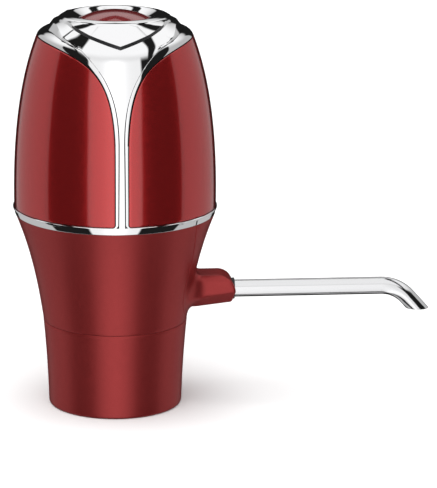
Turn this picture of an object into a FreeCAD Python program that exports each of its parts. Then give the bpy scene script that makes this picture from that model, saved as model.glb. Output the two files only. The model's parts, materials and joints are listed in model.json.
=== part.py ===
import FreeCAD, Part
import math
import os
import re
import Sketcher
from FreeCAD import Placement, Rotation, Vector

# An electric wine aerator that stands on a bottle's neck: a pump blows air into the bottle,
# and the wine rises through the elbow and leaves by the steel spout.
# +Z is up along the bottle, +X runs along the spout, and the two chrome ribs face -Y and +Y.
# The origin is the middle of the bottle's mouth. Sizes are in millimetres.

doc = FreeCAD.newDocument("wine_aerator")
sheet = doc.addObject("Spreadsheet::Sheet", "Dimensions")

driving = {
    # outer shape
    "rimDrop": 22.0, "rimRadius": 19.95, "collarTop": 4.1, "collarRadius": 21.5, "collarWall": 1.6,
    "bodyRadius": 30.0, "flareRise": 32.7, "bandHeight": 2.2, "bandProud": 0.25,
    "lipRadius": 22.9, "crownRise": 6.1, "domeProud": 0.9, "frameWall": 1.5, "linerWall": 1.2,
    "housingWall": 1.8,
    "ribWidth": 3.7, "panelGap": 0.15, "shieldProud": 0.6, "seamChamfer": 0.25,
    # clearances
    "slideGap": 0.3, "runGap": 0.06, "seatGap": 0.1,
    # stopper and wine path
    "stopperRadius": 9.2, "stopperLength": 12.0, "grooveDepth": 0.7, "flangeRadius": 12.8,
    "deckThick": 1.4, "stopperFlange": 1.0, "elbowFlange": 1.7, "floorThick": 2.0,
    "riserRadius": 3.5, "wineBore": 2.1, "spigotRadius": 3.0, "spigotLength": 8.0,
    "spoutLevel": 12.2, "socketRadius": 3.9, "socketEnd": 26.0, "socketDepth": 6.0,
    "airOffset": 6.6, "airBore": 0.8, "barbRadius": 1.4, "hoseRadius": 2.2, "valveRadius": 2.8,
    # spout and its bridge
    "tubeRadius": 2.6, "tubeWall": 0.4, "bendStart": 80.4, "bendRadius": 10.9, "bendTurn": 48.0,
    "spoutDrop": 7.2, "sleeveWall": 0.6, "bossEnd": 35.8, "bossHalf": 6.0, "bossAbove": 5.3,
    "bossBelow": 4.9, "ringSection": 0.34,
    # chassis and screws
    "chassisThick": 2.0, "postRadius": 2.6, "postCircle": 17.0, "shankRadius": 1.0, "headRadius": 2.0,
    "headThick": 1.3, "pillarCircle": 18.4, "pillarRadius": 2.3,
    # air pump
    "pumpRadius": 11.0, "coverThick": 4.0, "plateThick": 1.5, "sheetThick": 1.0, "cupRadius": 2.6,
    "cupHeight": 0.8, "cupCircle": 5.2, "frameHeight": 9.0, "frameLid": 1.6, "cavityRadius": 8.8,
    "pumpScrewCircle": 9.95, "pumpScrewRadius": 0.7, "pinTilt": 8.5, "pinRadius": 0.5,
    "wheelRadius": 3.5, "wheelThick": 1.8, "bracketRadius": 7.6, "bracketThick": 1.4,
    # motor
    "motorRadius": 8.4, "motorLength": 24.5, "motorWall": 0.8, "shaftRadius": 0.75, "rotorRadius": 5.8,
    "rotorLength": 13.0, "airGap": 0.35, "capThick": 1.5,
    # batteries
    "cellRadius": 5.25, "cellLength": 44.5, "cellNub": 1.0, "cellCircle": 17.6, "springRoom": 2.5,
    "carrierWall": 0.8, "carrierPlate": 2.0, "carrierLid": 1.6, "contactThick": 0.3,
    "leafHalf": 3.8, "leafThick": 0.4, "leafWidth": 3.0,
    # board, switch and button
    "standoff": 1.0, "boardRadius": 17.0, "boardThick": 1.2, "switchSide": 6.0, "switchHeight": 2.5,
    "plungerRadius": 1.6, "plungerHeight": 0.8, "plungerTravel": 0.3, "buttonTravel": 1.5,
    "buttonRadius": 10.1, "buttonFlange": 1.5, "buttonStem": 2.2, "domeRise": 2.2, "retainerThick": 1.2,
    "retainerMargin": 5.6, "retainerScrewInset": 2.4, "screwBoss": 2.2,
    "springWire": 0.6, "springRadius": 6.5,
}
derived = {
    "bandFoot": "collarTop + flareRise",
    "bandTop": "bandFoot + bandHeight",
    "stackFoot": "deckThick + stopperFlange",
    "chassisFoot": "spoutLevel + riserRadius + 0.8",
    "chassisTop": "chassisFoot + chassisThick",
    "plateFoot": "chassisTop + coverThick",
    "sheetFoot": "plateFoot + plateThick",
    "frameFoot": "sheetFoot + sheetThick",
    "frameTop": "frameFoot + frameHeight",
    "motorTop": "frameTop + motorLength",
    "carrierFoot": "frameTop - frameLid - 0.9",
    "carrierFloor": "carrierFoot + carrierPlate",
    "cellFoot": "carrierFloor + contactThick",
    "lidFoot": "cellFoot + springRoom + cellLength + contactThick",
    "lidTop": "lidFoot + carrierLid",
    "boardFoot": "lidTop + standoff",
    "boardTop": "boardFoot + boardThick",
    "switchTop": "boardTop + switchHeight",
    "plungerTop": "switchTop + plungerHeight",
    "stemFoot": "plungerTop + buttonTravel - plungerTravel + 0.05",
    "retainerFoot": "stemFoot - retainerThick / 2",
    "retainerTop": "retainerFoot + retainerThick",
    "flangeFoot": "retainerTop + buttonTravel + 1.0",
    "flangeTop": "flangeFoot + 1.2",
    "ceiling": "flangeTop + seatGap",
    "crownTop": "ceiling + 2.55",
    "lipLevel": "crownTop - crownRise",
    "carrierBore": "pumpRadius + slideGap + 0.1",
    "sleeveRadius": "tubeRadius + sleeveWall",
    "pivotLevel": "frameFoot - 0.5",
    "retainerRadius": "buttonRadius + buttonFlange + retainerMargin",
    "retainerCircle": "retainerRadius - retainerScrewInset",
}

rows = list(driving.items()) + [(name, "=" + rule) for name, rule in derived.items()]
for row, (name, content) in enumerate(rows, start=1):
    sheet.set(f"A{row}", name)
    sheet.set(f"B{row}", str(content))
    sheet.setAlias(f"B{row}", name)
doc.recompute()

nodes = []


def size(name):
    return float(sheet.get(name))


def linked(rule):
    """The rule with every name pointed at its cell."""
    return re.sub(r"[A-Za-z]\w*", lambda found: "Dimensions." + found.group(0), str(rule))


def bind(item, **rules):
    for prop, rule in rules.items():
        item.setExpression(prop.replace("__", "."), linked(rule))


def keep(item, label):
    """Names a finished piece and puts it on the list to be written."""
    item.Label = label
    nodes.append(item)
    return item


def place(item, x, y, z):
    bind(item, Placement__Base__x=x, Placement__Base__y=y, Placement__Base__z=z)
    return item


def cylinder(radius, height, foot, x="0", y="0"):
    item = doc.addObject("Part::Cylinder", "Cylinder")
    bind(item, Radius=radius, Height=height)
    return place(item, x, y, foot)


def bar(radius, length, start, level, y="0"):
    """A cylinder lying along +X."""
    item = doc.addObject("Part::Cylinder", "Bar")
    item.Placement = Placement(Vector(), Rotation(Vector(0, 1, 0), 90))
    bind(item, Radius=radius, Height=length)
    return place(item, start, y, level)


def block(length, width, height, x, y, z):
    item = doc.addObject("Part::Box", "Block")
    bind(item, Length=length, Width=width, Height=height)
    return place(item, x, y, z)


def cut(base, *tools):
    item = doc.addObject("Part::Cut", "Cut")
    item.Base = base
    item.Tool = tools[0] if len(tools) == 1 else fuse(*tools)
    return item


def fuse(*pieces):
    item = doc.addObject("Part::MultiFuse", "Fusion")
    item.Shapes = list(pieces)
    return item


def group(*pieces):
    """Separate solids that share one node."""
    item = doc.addObject("Part::Compound", "Group")
    item.Links = list(pieces)
    return item


def on_circle(count, circle, first=0.0):
    """Evenly spaced places on a circle whose radius is a size, as X and Y rules."""
    spots = []
    for turn in range(count):
        angle = math.radians(first + 360.0 * turn / count)
        spots.append((f"({circle}) * {math.cos(angle):.6f}", f"({circle}) * {math.sin(angle):.6f}"))
    return spots


def turned(outline):
    """A body turned about Z from an outline of radius and height rules."""
    body = doc.addObject("PartDesign::Body", "Body")
    sketch = body.newObject("Sketcher::SketchObject", "Outline")
    plane = [item for item in body.Origin.OriginFeatures if item.Role == "XZ_Plane"][0]
    sketch.AttachmentSupport = (plane, [""])
    sketch.MapMode = "FlatFace"
    count = len(outline)
    first = [Vector(10 + 5 * math.cos(i), 5 * math.sin(i), 0) for i in range(count)]
    for i in range(count):
        sketch.addGeometry(Part.LineSegment(first[i], first[(i + 1) % count]), False)
    for i in range(count):
        sketch.addConstraint(Sketcher.Constraint("Coincident", i, 2, (i + 1) % count, 1))
    for i, (radius, height) in enumerate(outline):
        across = sketch.addConstraint(Sketcher.Constraint("DistanceX", -1, 1, i, 1, first[i].x))
        up = sketch.addConstraint(Sketcher.Constraint("DistanceY", -1, 1, i, 1, first[i].y))
        sketch.setExpression(f"Constraints[{across}]", linked(radius))
        sketch.setExpression(f"Constraints[{up}]", linked(height))
    turn = body.newObject("PartDesign::Revolution", "Turn")
    turn.Profile = sketch
    turn.ReferenceAxis = (sketch, ["V_Axis"])
    turn.Angle = 360.0
    body.Tip = turn
    return body


def feature(shape):
    item = doc.addObject("Part::Feature", "Shell")
    item.Shape = shape
    item.Placement = Placement()
    return item


def bezier(*poles):
    curve = Part.BezierCurve()
    curve.setPoles([Vector(radius, 0, height) for radius, height in poles])
    return curve.toShape()


def path(*points):
    return Part.makePolygon([Vector(radius, 0, height) for radius, height in points]).Edges


def spun(edges):
    wire = Part.Wire(Part.__sortEdges__(edges))
    return Part.Face(wire).revolve(Vector(), Vector(0, 0, 1), 360)


def shifted(poles, inward):
    return [(radius - inward, height) for radius, height in poles]


# ---------------------------------------------------------------- outlines shared by the shells

def collar_curve():
    low, high = -size("rimDrop") + 1.0, size("collarTop") - size("seamChamfer")
    rim, top = size("rimRadius"), size("collarRadius")
    return [(rim, low), (rim + 0.25, low + 0.36 * (high - low)),
            (top - 0.75, low + 0.68 * (high - low)), (top, high)]


def flare_curve():
    low, high = size("collarTop") + size("seamChamfer"), size("bandFoot")
    start, end = size("collarRadius"), size("bodyRadius") - 0.35
    rise = high - low
    return [(start, low), (start + 1.7, low + 0.37 * rise), (end - 4.2, high - 0.31 * rise), (end, high)]


def upper_curve(proud=0.0):
    low, high = size("bandTop"), size("lipLevel")
    wide, lip = size("bodyRadius"), size("lipRadius")
    return [(wide - 0.05, low), (wide + 0.15 + 0.2 * proud, low + 0.33 * (high - low)),
            (lip + 0.85 * (wide - lip) + 0.8 * proud, low + 0.70 * (high - low)), (lip + proud, high)]


def front_prism(edges):
    """A prism along Y of an outline drawn in the front view."""
    wire = Part.Wire(Part.__sortEdges__(edges))
    reach = 2 * size("bodyRadius")
    solid = Part.Face(wire).extrude(Vector(0, 2 * reach, 0))
    solid.translate(Vector(0, -reach, 0))
    return solid


def window(inset):
    """The room of the +X panel, drawn back from its edge by inset."""
    edge = size("ribWidth") / 2 + inset
    foot, lip = size("bandTop") + inset, size("lipLevel")
    straight = foot + 0.4 * (lip - foot)
    far = 2 * size("bodyRadius")
    corner = 0.8
    curve = bezier((edge, straight), (edge, foot + 0.8 * (lip - foot)),
                   (edge + 4.65, foot + 0.94 * (lip - foot)), (size("lipRadius") + 0.4, lip - inset))
    turn = Part.Arc(Vector(edge, 0, foot + corner),
                    Vector(edge + corner * (1 - math.sqrt(0.5)), 0, foot + corner * (1 - math.sqrt(0.5))),
                    Vector(edge + corner, 0, foot)).toShape()
    edges = [turn, curve] + path((edge, foot + corner), (edge, straight))
    edges += path((size("lipRadius") + 0.4, lip - inset), (far, lip - inset), (far, foot),
                  (edge + corner, foot))
    return front_prism(edges)


def mirrored(shape):
    return shape.mirror(Vector(), Vector(1, 0, 0))


# ---------------------------------------------------------------- the stand on the bottle

def bottle_collar():
    rim, wall, drop = size("rimRadius"), size("collarWall"), size("rimDrop")
    top, deck, seat = size("collarTop"), size("deckThick"), size("flangeRadius") + size("seatGap")
    curve = collar_curve()
    roof = top - 2.5
    edges = [bezier(*curve)]
    edges += path(curve[-1], (curve[-1][0] - size("seamChamfer"), top), (seat, top), (seat, deck),
                  (seat - 1.9, deck), (seat - 1.9, 0), (seat + 1.8, 0), (seat + 1.8, roof),
                  (size("collarRadius") - wall - 0.2, roof), (rim - wall, -drop), (rim - 0.9, -drop))
    corner = Part.Arc(Vector(rim - 0.9, 0, -drop), Vector(rim - 0.25, 0, -drop + 0.32),
                      Vector(rim, 0, -drop + 1.0)).toShape()
    shell = feature(spun(edges + [corner]))
    holes = [cylinder("shankRadius + 0.2", "collarTop", "0", x, y)
             for x, y in on_circle(3, "postCircle", 60)]
    keep(cut(shell, *holes), "bottle_collar")


def bottle_stopper():
    groove = "stopperRadius - grooveDepth"
    plug = turned([("riserRadius", "-stopperLength"), ("stopperRadius - 0.8", "-stopperLength"),
                   ("stopperRadius", "-stopperLength + 0.8"), ("stopperRadius", "-0.66 * stopperLength"),
                   (groove, "-0.66 * stopperLength"), (groove, "-0.59 * stopperLength"),
                   ("stopperRadius", "-0.59 * stopperLength"), ("stopperRadius", "-0.36 * stopperLength"),
                   (groove, "-0.36 * stopperLength"), (groove, "-0.29 * stopperLength"),
                   ("stopperRadius", "-0.29 * stopperLength"), ("stopperRadius", "deckThick"),
                   ("flangeRadius", "deckThick"), ("flangeRadius", "stackFoot"),
                   ("riserRadius", "stackFoot")])
    air = cylinder("airBore", "stopperLength + stackFoot + 2", "-stopperLength - 1", "-airOffset")
    keep(cut(plug, air), "bottle_stopper")


def wine_elbow():
    riser = cylinder("riserRadius", "stopperLength + spoutLevel", "-stopperLength")
    spigot = cylinder("spigotRadius", "spigotLength", "-stopperLength - spigotLength")
    plate = cylinder("flangeRadius", "elbowFlange", "stackFoot")
    corner = doc.addObject("Part::Sphere", "Corner")
    bind(corner, Radius="riserRadius")
    place(corner, "0", "0", "spoutLevel")
    arm = bar("riserRadius", "socketEnd - socketDepth", "0", "spoutLevel")
    socket = bar("socketRadius", "socketDepth", "socketEnd - socketDepth", "spoutLevel")
    barb = cylinder("barbRadius", "4.5", "stackFoot + elbowFlange", "-airOffset")
    solid = fuse(riser, spigot, plate, corner, arm, socket, barb)
    bore = cylinder("wineBore", "stopperLength + spigotLength + spoutLevel + 1",
                    "-stopperLength - spigotLength - 1")
    round_bore = doc.addObject("Part::Sphere", "CornerBore")
    bind(round_bore, Radius="wineBore")
    place(round_bore, "0", "0", "spoutLevel")
    across = bar("wineBore", "socketEnd", "0", "spoutLevel")
    seat = bar("tubeRadius", "socketEnd", "socketEnd - 12", "spoutLevel")
    rings = bar("tubeRadius + 2 * ringSection", "socketDepth", "socketEnd - socketDepth + 0.8", "spoutLevel")
    air = cylinder("airBore", "elbowFlange + 8", "stackFoot - 1", "-airOffset")
    keep(cut(solid, bore, round_bore, across, seat, rings, air), "wine_elbow")


def air_line():
    low_barb = "stackFoot + elbowFlange"
    upper_end = "chassisTop - 2.6"
    body_foot = f"{low_barb} + 5.7"
    lower = cut(cylinder("hoseRadius", "4.6", f"{low_barb} + 0.9", "-airOffset"),
                cylinder("barbRadius", "5", f"{low_barb} + 0.9", "-airOffset"))
    upper = cut(cylinder("hoseRadius", f"{upper_end} - ({body_foot} + 2.8)", f"{body_foot} + 2.8",
                         "-airOffset"),
                cylinder("barbRadius", "9", f"{body_foot} + 2.8", "-airOffset"))
    keep(group(lower, upper), "air_hose")
    body = fuse(cylinder("valveRadius", "2.6", body_foot, "-airOffset"),
                cylinder("barbRadius", "4.6", f"{body_foot} - 1", "-airOffset"))
    keep(cut(body, cylinder("airBore", "9", f"{body_foot} - 2", "-airOffset")), "air_check_valve")


# ---------------------------------------------------------------- lower body and spout

def bridge_outline(inset):
    """The spout bridge's outline in the view along the spout, as a prism towards +X."""
    foot, top = size("spoutLevel") - size("bossBelow") - 0.3 + inset, size("bandFoot")
    waist = foot + 0.38 * (top - foot)
    half = size("bossHalf")
    right = [(half + 0.6 - inset, foot), (half + 5.2 - inset, foot + 1.2), (half + 6.6 - inset, foot + 5.0),
             (half + 6.8 - inset, waist)]
    upper = [right[-1], (half + 7.0 - inset, waist + 8.0), (half + 9.6 - inset, waist + 12.0),
             (half + 13.4 - inset, top)]

    def side(poles, way):
        curve = Part.BezierCurve()
        curve.setPoles([Vector(0, way * across, height) for across, height in poles])
        return curve.toShape()

    def line(start, end):
        return Part.makeLine(Vector(0, *start), Vector(0, *end))

    edges = [side(right, 1), side(upper, 1), side(right, -1), side(upper, -1),
             line((-upper[-1][0], top), upper[-1]), line((-right[0][0], foot), right[0])]
    face = Part.Face(Part.Wire(Part.__sortEdges__(edges)))
    return face.extrude(Vector(2 * size("bodyRadius"), 0, 0))


def flare_shell():
    curve, wall = flare_curve(), size("housingWall")
    edges = [bezier(*curve), bezier(*shifted(curve, wall))]
    edges += path(curve[0], shifted(curve, wall)[0]) + path(curve[-1], shifted(curve, wall)[-1])
    return spun(edges)


def lower_housing():
    curve, wall = flare_curve(), size("housingWall")
    foot, floor = size("collarTop"), size("collarTop") + size("floorThick")
    outer = spun([bezier(*curve)] + path(curve[-1], (0, curve[-1][1]), (0, foot),
                                         (curve[0][0] - size("seamChamfer"), foot), curve[0]))
    room = shifted(curve, wall)
    inner = spun([bezier(*room)] + path(room[-1], (room[-1][0], room[-1][1] + 1), (0, room[-1][1] + 1),
                                        (0, room[0][1]), room[0]))
    base = Part.makeCylinder(size("collarRadius") - wall - 1.0, floor - room[0][1], Vector(0, 0, room[0][1]))
    shell = feature(outer.cut(inner.cut(base)).cut(bridge_outline(0.0)))
    port = cylinder("flangeRadius - 2", "floorThick + 2", "collarTop - 1")
    holes = [cylinder("shankRadius + 0.2", "floorThick + 2", "collarTop - 1", x, y)
             for x, y in on_circle(3, "postCircle", 60)]
    keep(cut(shell, port, *holes), "lower_housing")


def spout_bridge():
    level, end, half = size("spoutLevel"), size("bossEnd"), size("bossHalf")
    top, foot = level + size("bossAbove"), level - size("bossBelow")
    skin = flare_shell().common(bridge_outline(size("seatGap")))
    start = size("collarRadius") - 0.6
    nose = Part.Wire(Part.makePolygon([Vector(start, 0, foot), Vector(end - 0.9, 0, foot + 1.3),
                                       Vector(end, 0, level - 0.6), Vector(end - 0.9, 0, level + 2.0),
                                       Vector(end - 2.4, 0, top - 1.0), Vector(end - 5.2, 0, top),
                                       Vector(start, 0, top), Vector(start, 0, foot)]).Edges)
    boss = Part.Face(nose).extrude(Vector(0, 2 * half, 0))
    boss.translate(Vector(0, -half, 0))
    long_edges = [edge for edge in boss.Edges if abs(edge.BoundBox.YLength) < 0.01
                  and edge.BoundBox.XLength > 5 and edge.BoundBox.ZMax > level]
    low_edges = [edge for edge in boss.Edges if abs(edge.BoundBox.YLength) < 0.01
                 and edge.BoundBox.XLength > 5 and edge.BoundBox.ZMax < level]
    boss = boss.makeFillet(1.2, long_edges).makeChamfer(2.2, low_edges)
    gusset = Part.makePolygon([Vector(start - 1.5, half + 4.6, 0), Vector(start + 2.6, half + 1.4, 0),
                               Vector(start + 6.0, half - 0.4, 0), Vector(start + 6.0, 0.4 - half, 0),
                               Vector(start + 2.6, -half - 1.4, 0), Vector(start - 1.5, -half - 4.6, 0),
                               Vector(start - 1.5, half + 4.6, 0)])
    root = Part.Face(gusset).extrude(Vector(0, 0, top - foot - 3.0))
    root.translate(Vector(0, 0, foot + 1.5))
    outer_body = spun([bezier(*flare_curve())] + path(flare_curve()[-1], (0, size("bandFoot")),
                                                      (0, flare_curve()[0][1]), flare_curve()[0]))
    hollow = outer_body.cut(flare_shell())
    solid = skin.fuse([boss.cut(hollow), root.cut(hollow)]).removeSplitter()
    shape = feature(solid)
    socket = bar("socketRadius + slideGap", "socketEnd + 0.2 - 10", "10", "spoutLevel")
    sleeve = bar("sleeveRadius", "bossEnd", "socketEnd", "spoutLevel")
    keep(cut(shape, socket, sleeve), "spout_bridge")


def spout_route():
    level, turn = size("spoutLevel"), math.radians(size("bendTurn"))
    start, bend, radius = size("socketEnd") - 11.5, size("bendStart"), size("bendRadius")
    end_x = bend + radius * math.sin(turn)
    end_z = level - radius * (1 - math.cos(turn))
    mid = Vector(bend + radius * math.sin(turn / 2), 0, level - radius * (1 - math.cos(turn / 2)))
    run = (end_z - (level - size("spoutDrop")) + 4) / math.sin(turn)
    tip = Vector(end_x + run * math.cos(turn), 0, end_z - run * math.sin(turn))
    return Part.Wire([Part.makeLine(Vector(start, 0, level), Vector(bend, 0, level)),
                      Part.Arc(Vector(bend, 0, level), mid, Vector(end_x, 0, end_z)).toShape(),
                      Part.makeLine(Vector(end_x, 0, end_z), tip)])


def spout_tube():
    route = spout_route()
    start = route.Vertexes[0].Point

    def pipe(radius):
        ring = Part.Wire(Part.makeCircle(radius, start, Vector(1, 0, 0)))
        return route.makePipeShell([ring], True, False)

    tube = pipe(size("tubeRadius")).cut(pipe(size("tubeRadius") - size("tubeWall")))
    reach = 4 * size("tubeRadius") + size("bendRadius")
    below = Part.makeBox(4 * reach, 2 * reach, reach,
                         Vector(size("bendStart"), -reach, size("spoutLevel") - size("spoutDrop") - reach))
    keep(feature(tube.cut(below)), "spout_tube")
    sleeve = cut(bar("sleeveRadius", "bossEnd - socketEnd - 0.2", "socketEnd + 0.2", "spoutLevel"),
                 bar("tubeRadius", "bossEnd", "socketEnd - 1", "spoutLevel"))
    keep(sleeve, "spout_sleeve")
    rings = []
    for step in ("1.8", "4.2"):
        ring = doc.addObject("Part::Torus", "Ring")
        bind(ring, Radius1="tubeRadius + ringSection", Radius2="ringSection")
        ring.Placement = Placement(Vector(), Rotation(Vector(0, 1, 0), 90))
        rings.append(place(ring, f"socketEnd - socketDepth + {step}", "0", "spoutLevel"))
    keep(group(*rings), "spout_o_rings")


# ---------------------------------------------------------------- chassis and pump

def screw(shank, length, foot, head_foot, head, x, y):
    return fuse(cylinder(shank, length, foot, x, y), cylinder(head, "headThick", head_foot, x, y))


def chassis():
    floor = "collarTop + floorThick"
    disc = cylinder("collarRadius - 0.9", "chassisThick", "chassisFoot")
    posts = [cylinder("postRadius", f"chassisFoot + 0.5 - ({floor})", floor, x, y)
             for x, y in on_circle(3, "postCircle", 60)]
    pillars = [cylinder("pillarRadius", "carrierFoot - chassisTop + 0.5", "chassisTop - 0.5", x, y)
               for x, y in on_circle(4, "pillarCircle")]
    holes = [cylinder("shankRadius", "8", f"{floor} - 0.5", x, y) for x, y in on_circle(3, "postCircle", 60)]
    holes += [cylinder("shankRadius", "7", "carrierFoot - 6.5", x, y)
              for x, y in on_circle(4, "pillarCircle")]
    port = cylinder("hoseRadius + 0.3", "chassisThick + 2", "chassisFoot - 1", "-airOffset")
    keep(cut(fuse(disc, *posts, *pillars), port, *holes), "chassis")
    deck = "collarTop - 2.5"
    keep(group(*[screw("shankRadius", "9.5", deck, f"{deck} - headThick", "headRadius", x, y)
                 for x, y in on_circle(3, "postCircle", 60)]), "collar_screws")
    keep(group(*[screw("shankRadius", "carrierPlate + 5", "carrierFloor - carrierPlate - 5", "carrierFloor",
                       "headRadius", x, y) for x, y in on_circle(4, "pillarCircle")]), "carrier_screws")


def pump_head():
    nozzle = cylinder("barbRadius", "4.8", "chassisTop - 4.7", "-airOffset")
    cover = fuse(cylinder("pumpRadius", "coverThick", "chassisTop"), nozzle)
    chamber = cylinder("pumpRadius - 2.6", "coverThick - 1.2", "chassisTop + 1.2")
    passage = cylinder("airBore", "9", "chassisTop - 5", "-airOffset")
    screw_holes = on_circle(3, "pumpScrewCircle", 60)
    keep(cut(cover, chamber, passage, *[cylinder("pumpScrewRadius", "coverThick", "chassisTop + 1", x, y)
                                        for x, y in screw_holes]), "pump_head_cover")
    seats = on_circle(3, "cupCircle")
    ports = [cylinder("0.9", "plateThick + 2", "plateFoot - 1", x, y) for x, y in seats]
    keep(cut(cylinder("pumpRadius", "plateThick", "plateFoot"), *ports,
             *[cylinder("pumpScrewRadius", "plateThick + 2", "plateFoot - 1", x, y)
               for x, y in screw_holes]), "valve_plate")
    keep(group(*[fuse(cylinder("2.1", "0.6", "plateFoot - 0.6", x, y),
                      cylinder("0.7", "1.6", "plateFoot - 0.3", x, y)) for x, y in seats]), "pump_valves")
    cups = []
    for x, y in seats:
        cups.append(cylinder("cupRadius", "cupHeight + 0.5", "frameFoot - 0.5", x, y))
    hollows = [cylinder("cupRadius - 0.6", "cupHeight + sheetThick - 0.6", "sheetFoot", x, y)
               for x, y in seats]
    keep(cut(fuse(cylinder("pumpRadius", "sheetThick", "sheetFoot"), *cups), *hollows,
             *[cylinder("pumpScrewRadius", "sheetThick + 2", "sheetFoot - 1", x, y)
               for x, y in screw_holes]), "pump_diaphragm")
    body = cylinder("pumpRadius", "frameHeight", "frameFoot")
    room = cylinder("cavityRadius", "frameHeight - frameLid + 1", "frameFoot - 1")
    pilot = cylinder("shaftRadius + 1.2", "frameLid + 2", "frameTop - frameLid - 1")
    motor_holes = on_circle(2, "5", 90)
    keep(cut(body, room, pilot,
             *[cylinder("pumpScrewRadius", "frameHeight + 2", "frameFoot - 1", x, y) for x, y in screw_holes],
             *[cylinder("0.6", "frameLid + 2", "frameTop - frameLid - 1", x, y) for x, y in motor_holes]),
         "pump_frame")
    keep(group(*[fuse(cylinder("pumpScrewRadius", "frameTop - chassisTop - 1.5", "chassisTop + 1.5", x, y),
                      cylinder("1.0", "0.8", "frameTop", x, y)) for x, y in screw_holes]), "pump_screws")
    keep(group(*[fuse(cylinder("0.6", "frameLid + 2", "frameTop - frameLid", x, y),
                      cylinder("1.0", "0.6", "frameTop - frameLid - 0.6", x, y)) for x, y in motor_holes]),
         "motor_screws")


def slanted(radius, length, offset):
    """A cylinder on the slanted crank axis, from offset above the pivot."""
    tilt = size("pinTilt")
    item = doc.addObject("Part::Cylinder", "Slanted")
    bind(item, Radius=radius, Height=length)
    lean = Rotation(Vector(0, 1, 0), tilt)
    start = Vector(0, 0, size("pivotLevel")) + lean.multVec(Vector(0, 0, offset))
    item.Placement = Placement(start, lean)
    return item


def crank():
    wheel_foot = size("frameTop") - size("frameLid") - 0.5 - size("wheelThick")
    pin_start, bracket_mid = 1.6, 3.4
    pin_end = (wheel_foot - size("pivotLevel")) / math.cos(math.radians(size("pinTilt"))) + 1.2
    wheel = cylinder("wheelRadius", "wheelThick", "frameTop - frameLid - 0.5 - wheelThick")
    keep(cut(wheel, slanted("pinRadius", "20", 0.0),
             cylinder("shaftRadius", "wheelThick", "frameTop - frameLid - 0.5 - wheelThick / 3")),
         "eccentric_wheel")
    keep(slanted("pinRadius", pin_end - pin_start, pin_start), "eccentric_pin")
    disc = slanted("bracketRadius", "bracketThick", bracket_mid - size("bracketThick") / 2)
    hub = slanted("1.5", "2.9", bracket_mid - 1.3)
    keep(cut(fuse(disc, hub), slanted("pinRadius + runGap", "20", 0.0)), "wobble_bracket")


def motor():
    foot, radius, wall = size("frameTop"), size("motorRadius"), size("motorWall")
    can = turned([("shaftRadius + runGap", "frameTop"), ("motorRadius", "frameTop"),
                  ("motorRadius", "motorTop - capThick"), ("motorRadius - motorWall", "motorTop - capThick"),
                  ("motorRadius - motorWall", "frameTop + 2.2"), ("shaftRadius + runGap", "frameTop + 2.2")])
    screw_holes = [cylinder("0.6", "3", "frameTop - 1", x, y) for x, y in on_circle(2, "5", 90)]
    keep(cut(can, *screw_holes), "motor_can")
    cap = turned([("shaftRadius + runGap", "motorTop - capThick"), ("motorRadius", "motorTop - capThick"),
                  ("motorRadius", "motorTop"), ("2.6", "motorTop"), ("2.6", "motorTop + 1.2"),
                  ("shaftRadius + runGap", "motorTop + 1.2")])
    keep(cap, "motor_end_cap")
    ring_out, ring_in = radius - wall, size("rotorRadius") + size("airGap")
    ring = Part.makeCylinder(ring_out, size("rotorLength"), Vector(0, 0, foot + 4.0))
    ring = ring.cut(Part.makeCylinder(ring_in, size("rotorLength"), Vector(0, 0, foot + 4.0)))
    gap = Part.makeBox(2 * radius, 3.0, size("rotorLength"), Vector(-radius, -1.5, foot + 4.0))
    keep(feature(Part.Compound(ring.cut(gap).Solids)), "motor_magnets")
    core = cylinder("rotorRadius", "rotorLength", "frameTop + 4")
    slots, coils = [], []
    for turn in range(3):
        angle = 60 + 120 * turn
        for store, width, inner, outer in ((slots, 3.0, 2.4, "rotorRadius"),
                                           (coils, 2.8, 2.5, "rotorRadius - 0.6")):
            item = doc.addObject("Part::Box", "Slot")
            bind(item, Length=f"{outer} - {inner}", Width=width,
                 Height="rotorLength" if store is slots else "rotorLength - 1")
            spin = Rotation(Vector(0, 0, 1), angle)
            lift = 4.0 if store is slots else 4.5
            corner = spin.multVec(Vector(inner, -width / 2, 0))
            item.Placement = Placement(corner + Vector(0, 0, foot + lift), spin)
            store.append(item)
    keep(cut(core, *slots, cylinder("shaftRadius", "rotorLength", "frameTop + 4")), "rotor_core")
    keep(group(*coils), "rotor_coils")
    shaft_foot = "frameTop - frameLid - 0.5 - wheelThick / 3"
    keep(cylinder("shaftRadius", f"motorTop + 1.7 - ({shaft_foot})", shaft_foot), "motor_shaft")
    keep(cut(cylinder("2.1", "3.2", "frameTop + 4.4 + rotorLength"),
             cylinder("shaftRadius", "4", "frameTop + 4 + rotorLength")), "motor_commutator")
    brushes = [block("1.6", "1.4", "1.6", "2.2" if way > 0 else "-3.8", "-0.7",
                     "frameTop + 5.2 + rotorLength")
               for way in (1, -1)]
    keep(group(*brushes), "motor_brushes")


# ---------------------------------------------------------------- batteries and board

def helix(radius, wire, turns, foot, top):
    """A plain compression spring between two levels."""
    rise = top - foot - 2 * wire - 0.02
    start = Vector(radius, 0, foot + wire + 0.01)
    line = Part.makeHelix(rise / turns, rise, radius)
    line.translate(Vector(0, 0, start.z))
    ring = Part.Wire(Part.makeCircle(wire, start, Vector(0, 1, 0)))
    return Part.Wire(line.Edges).makePipeShell([ring], True, True)


def leaf_spring(foot, top):
    """A bowed strip between a contact plate and a cell's end."""
    half, thick, width = size("leafHalf"), size("leafThick"), size("leafWidth")
    low, high = foot + 0.01, top - 0.01
    ends = [Vector(-half, -width / 2, low), Vector(half, -width / 2, low)]
    inner = [Vector(thick - half, -width / 2, low), Vector(half - thick, -width / 2, low)]
    outside = Part.Arc(ends[0], Vector(0, -width / 2, high), ends[1]).toShape()
    inside = Part.Arc(inner[1], Vector(0, -width / 2, high - thick), inner[0]).toShape()
    outline = Part.Wire([outside, Part.makeLine(ends[1], inner[1]), inside, Part.makeLine(inner[0], ends[0])])
    return Part.Face(outline).extrude(Vector(0, width, 0))


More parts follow.
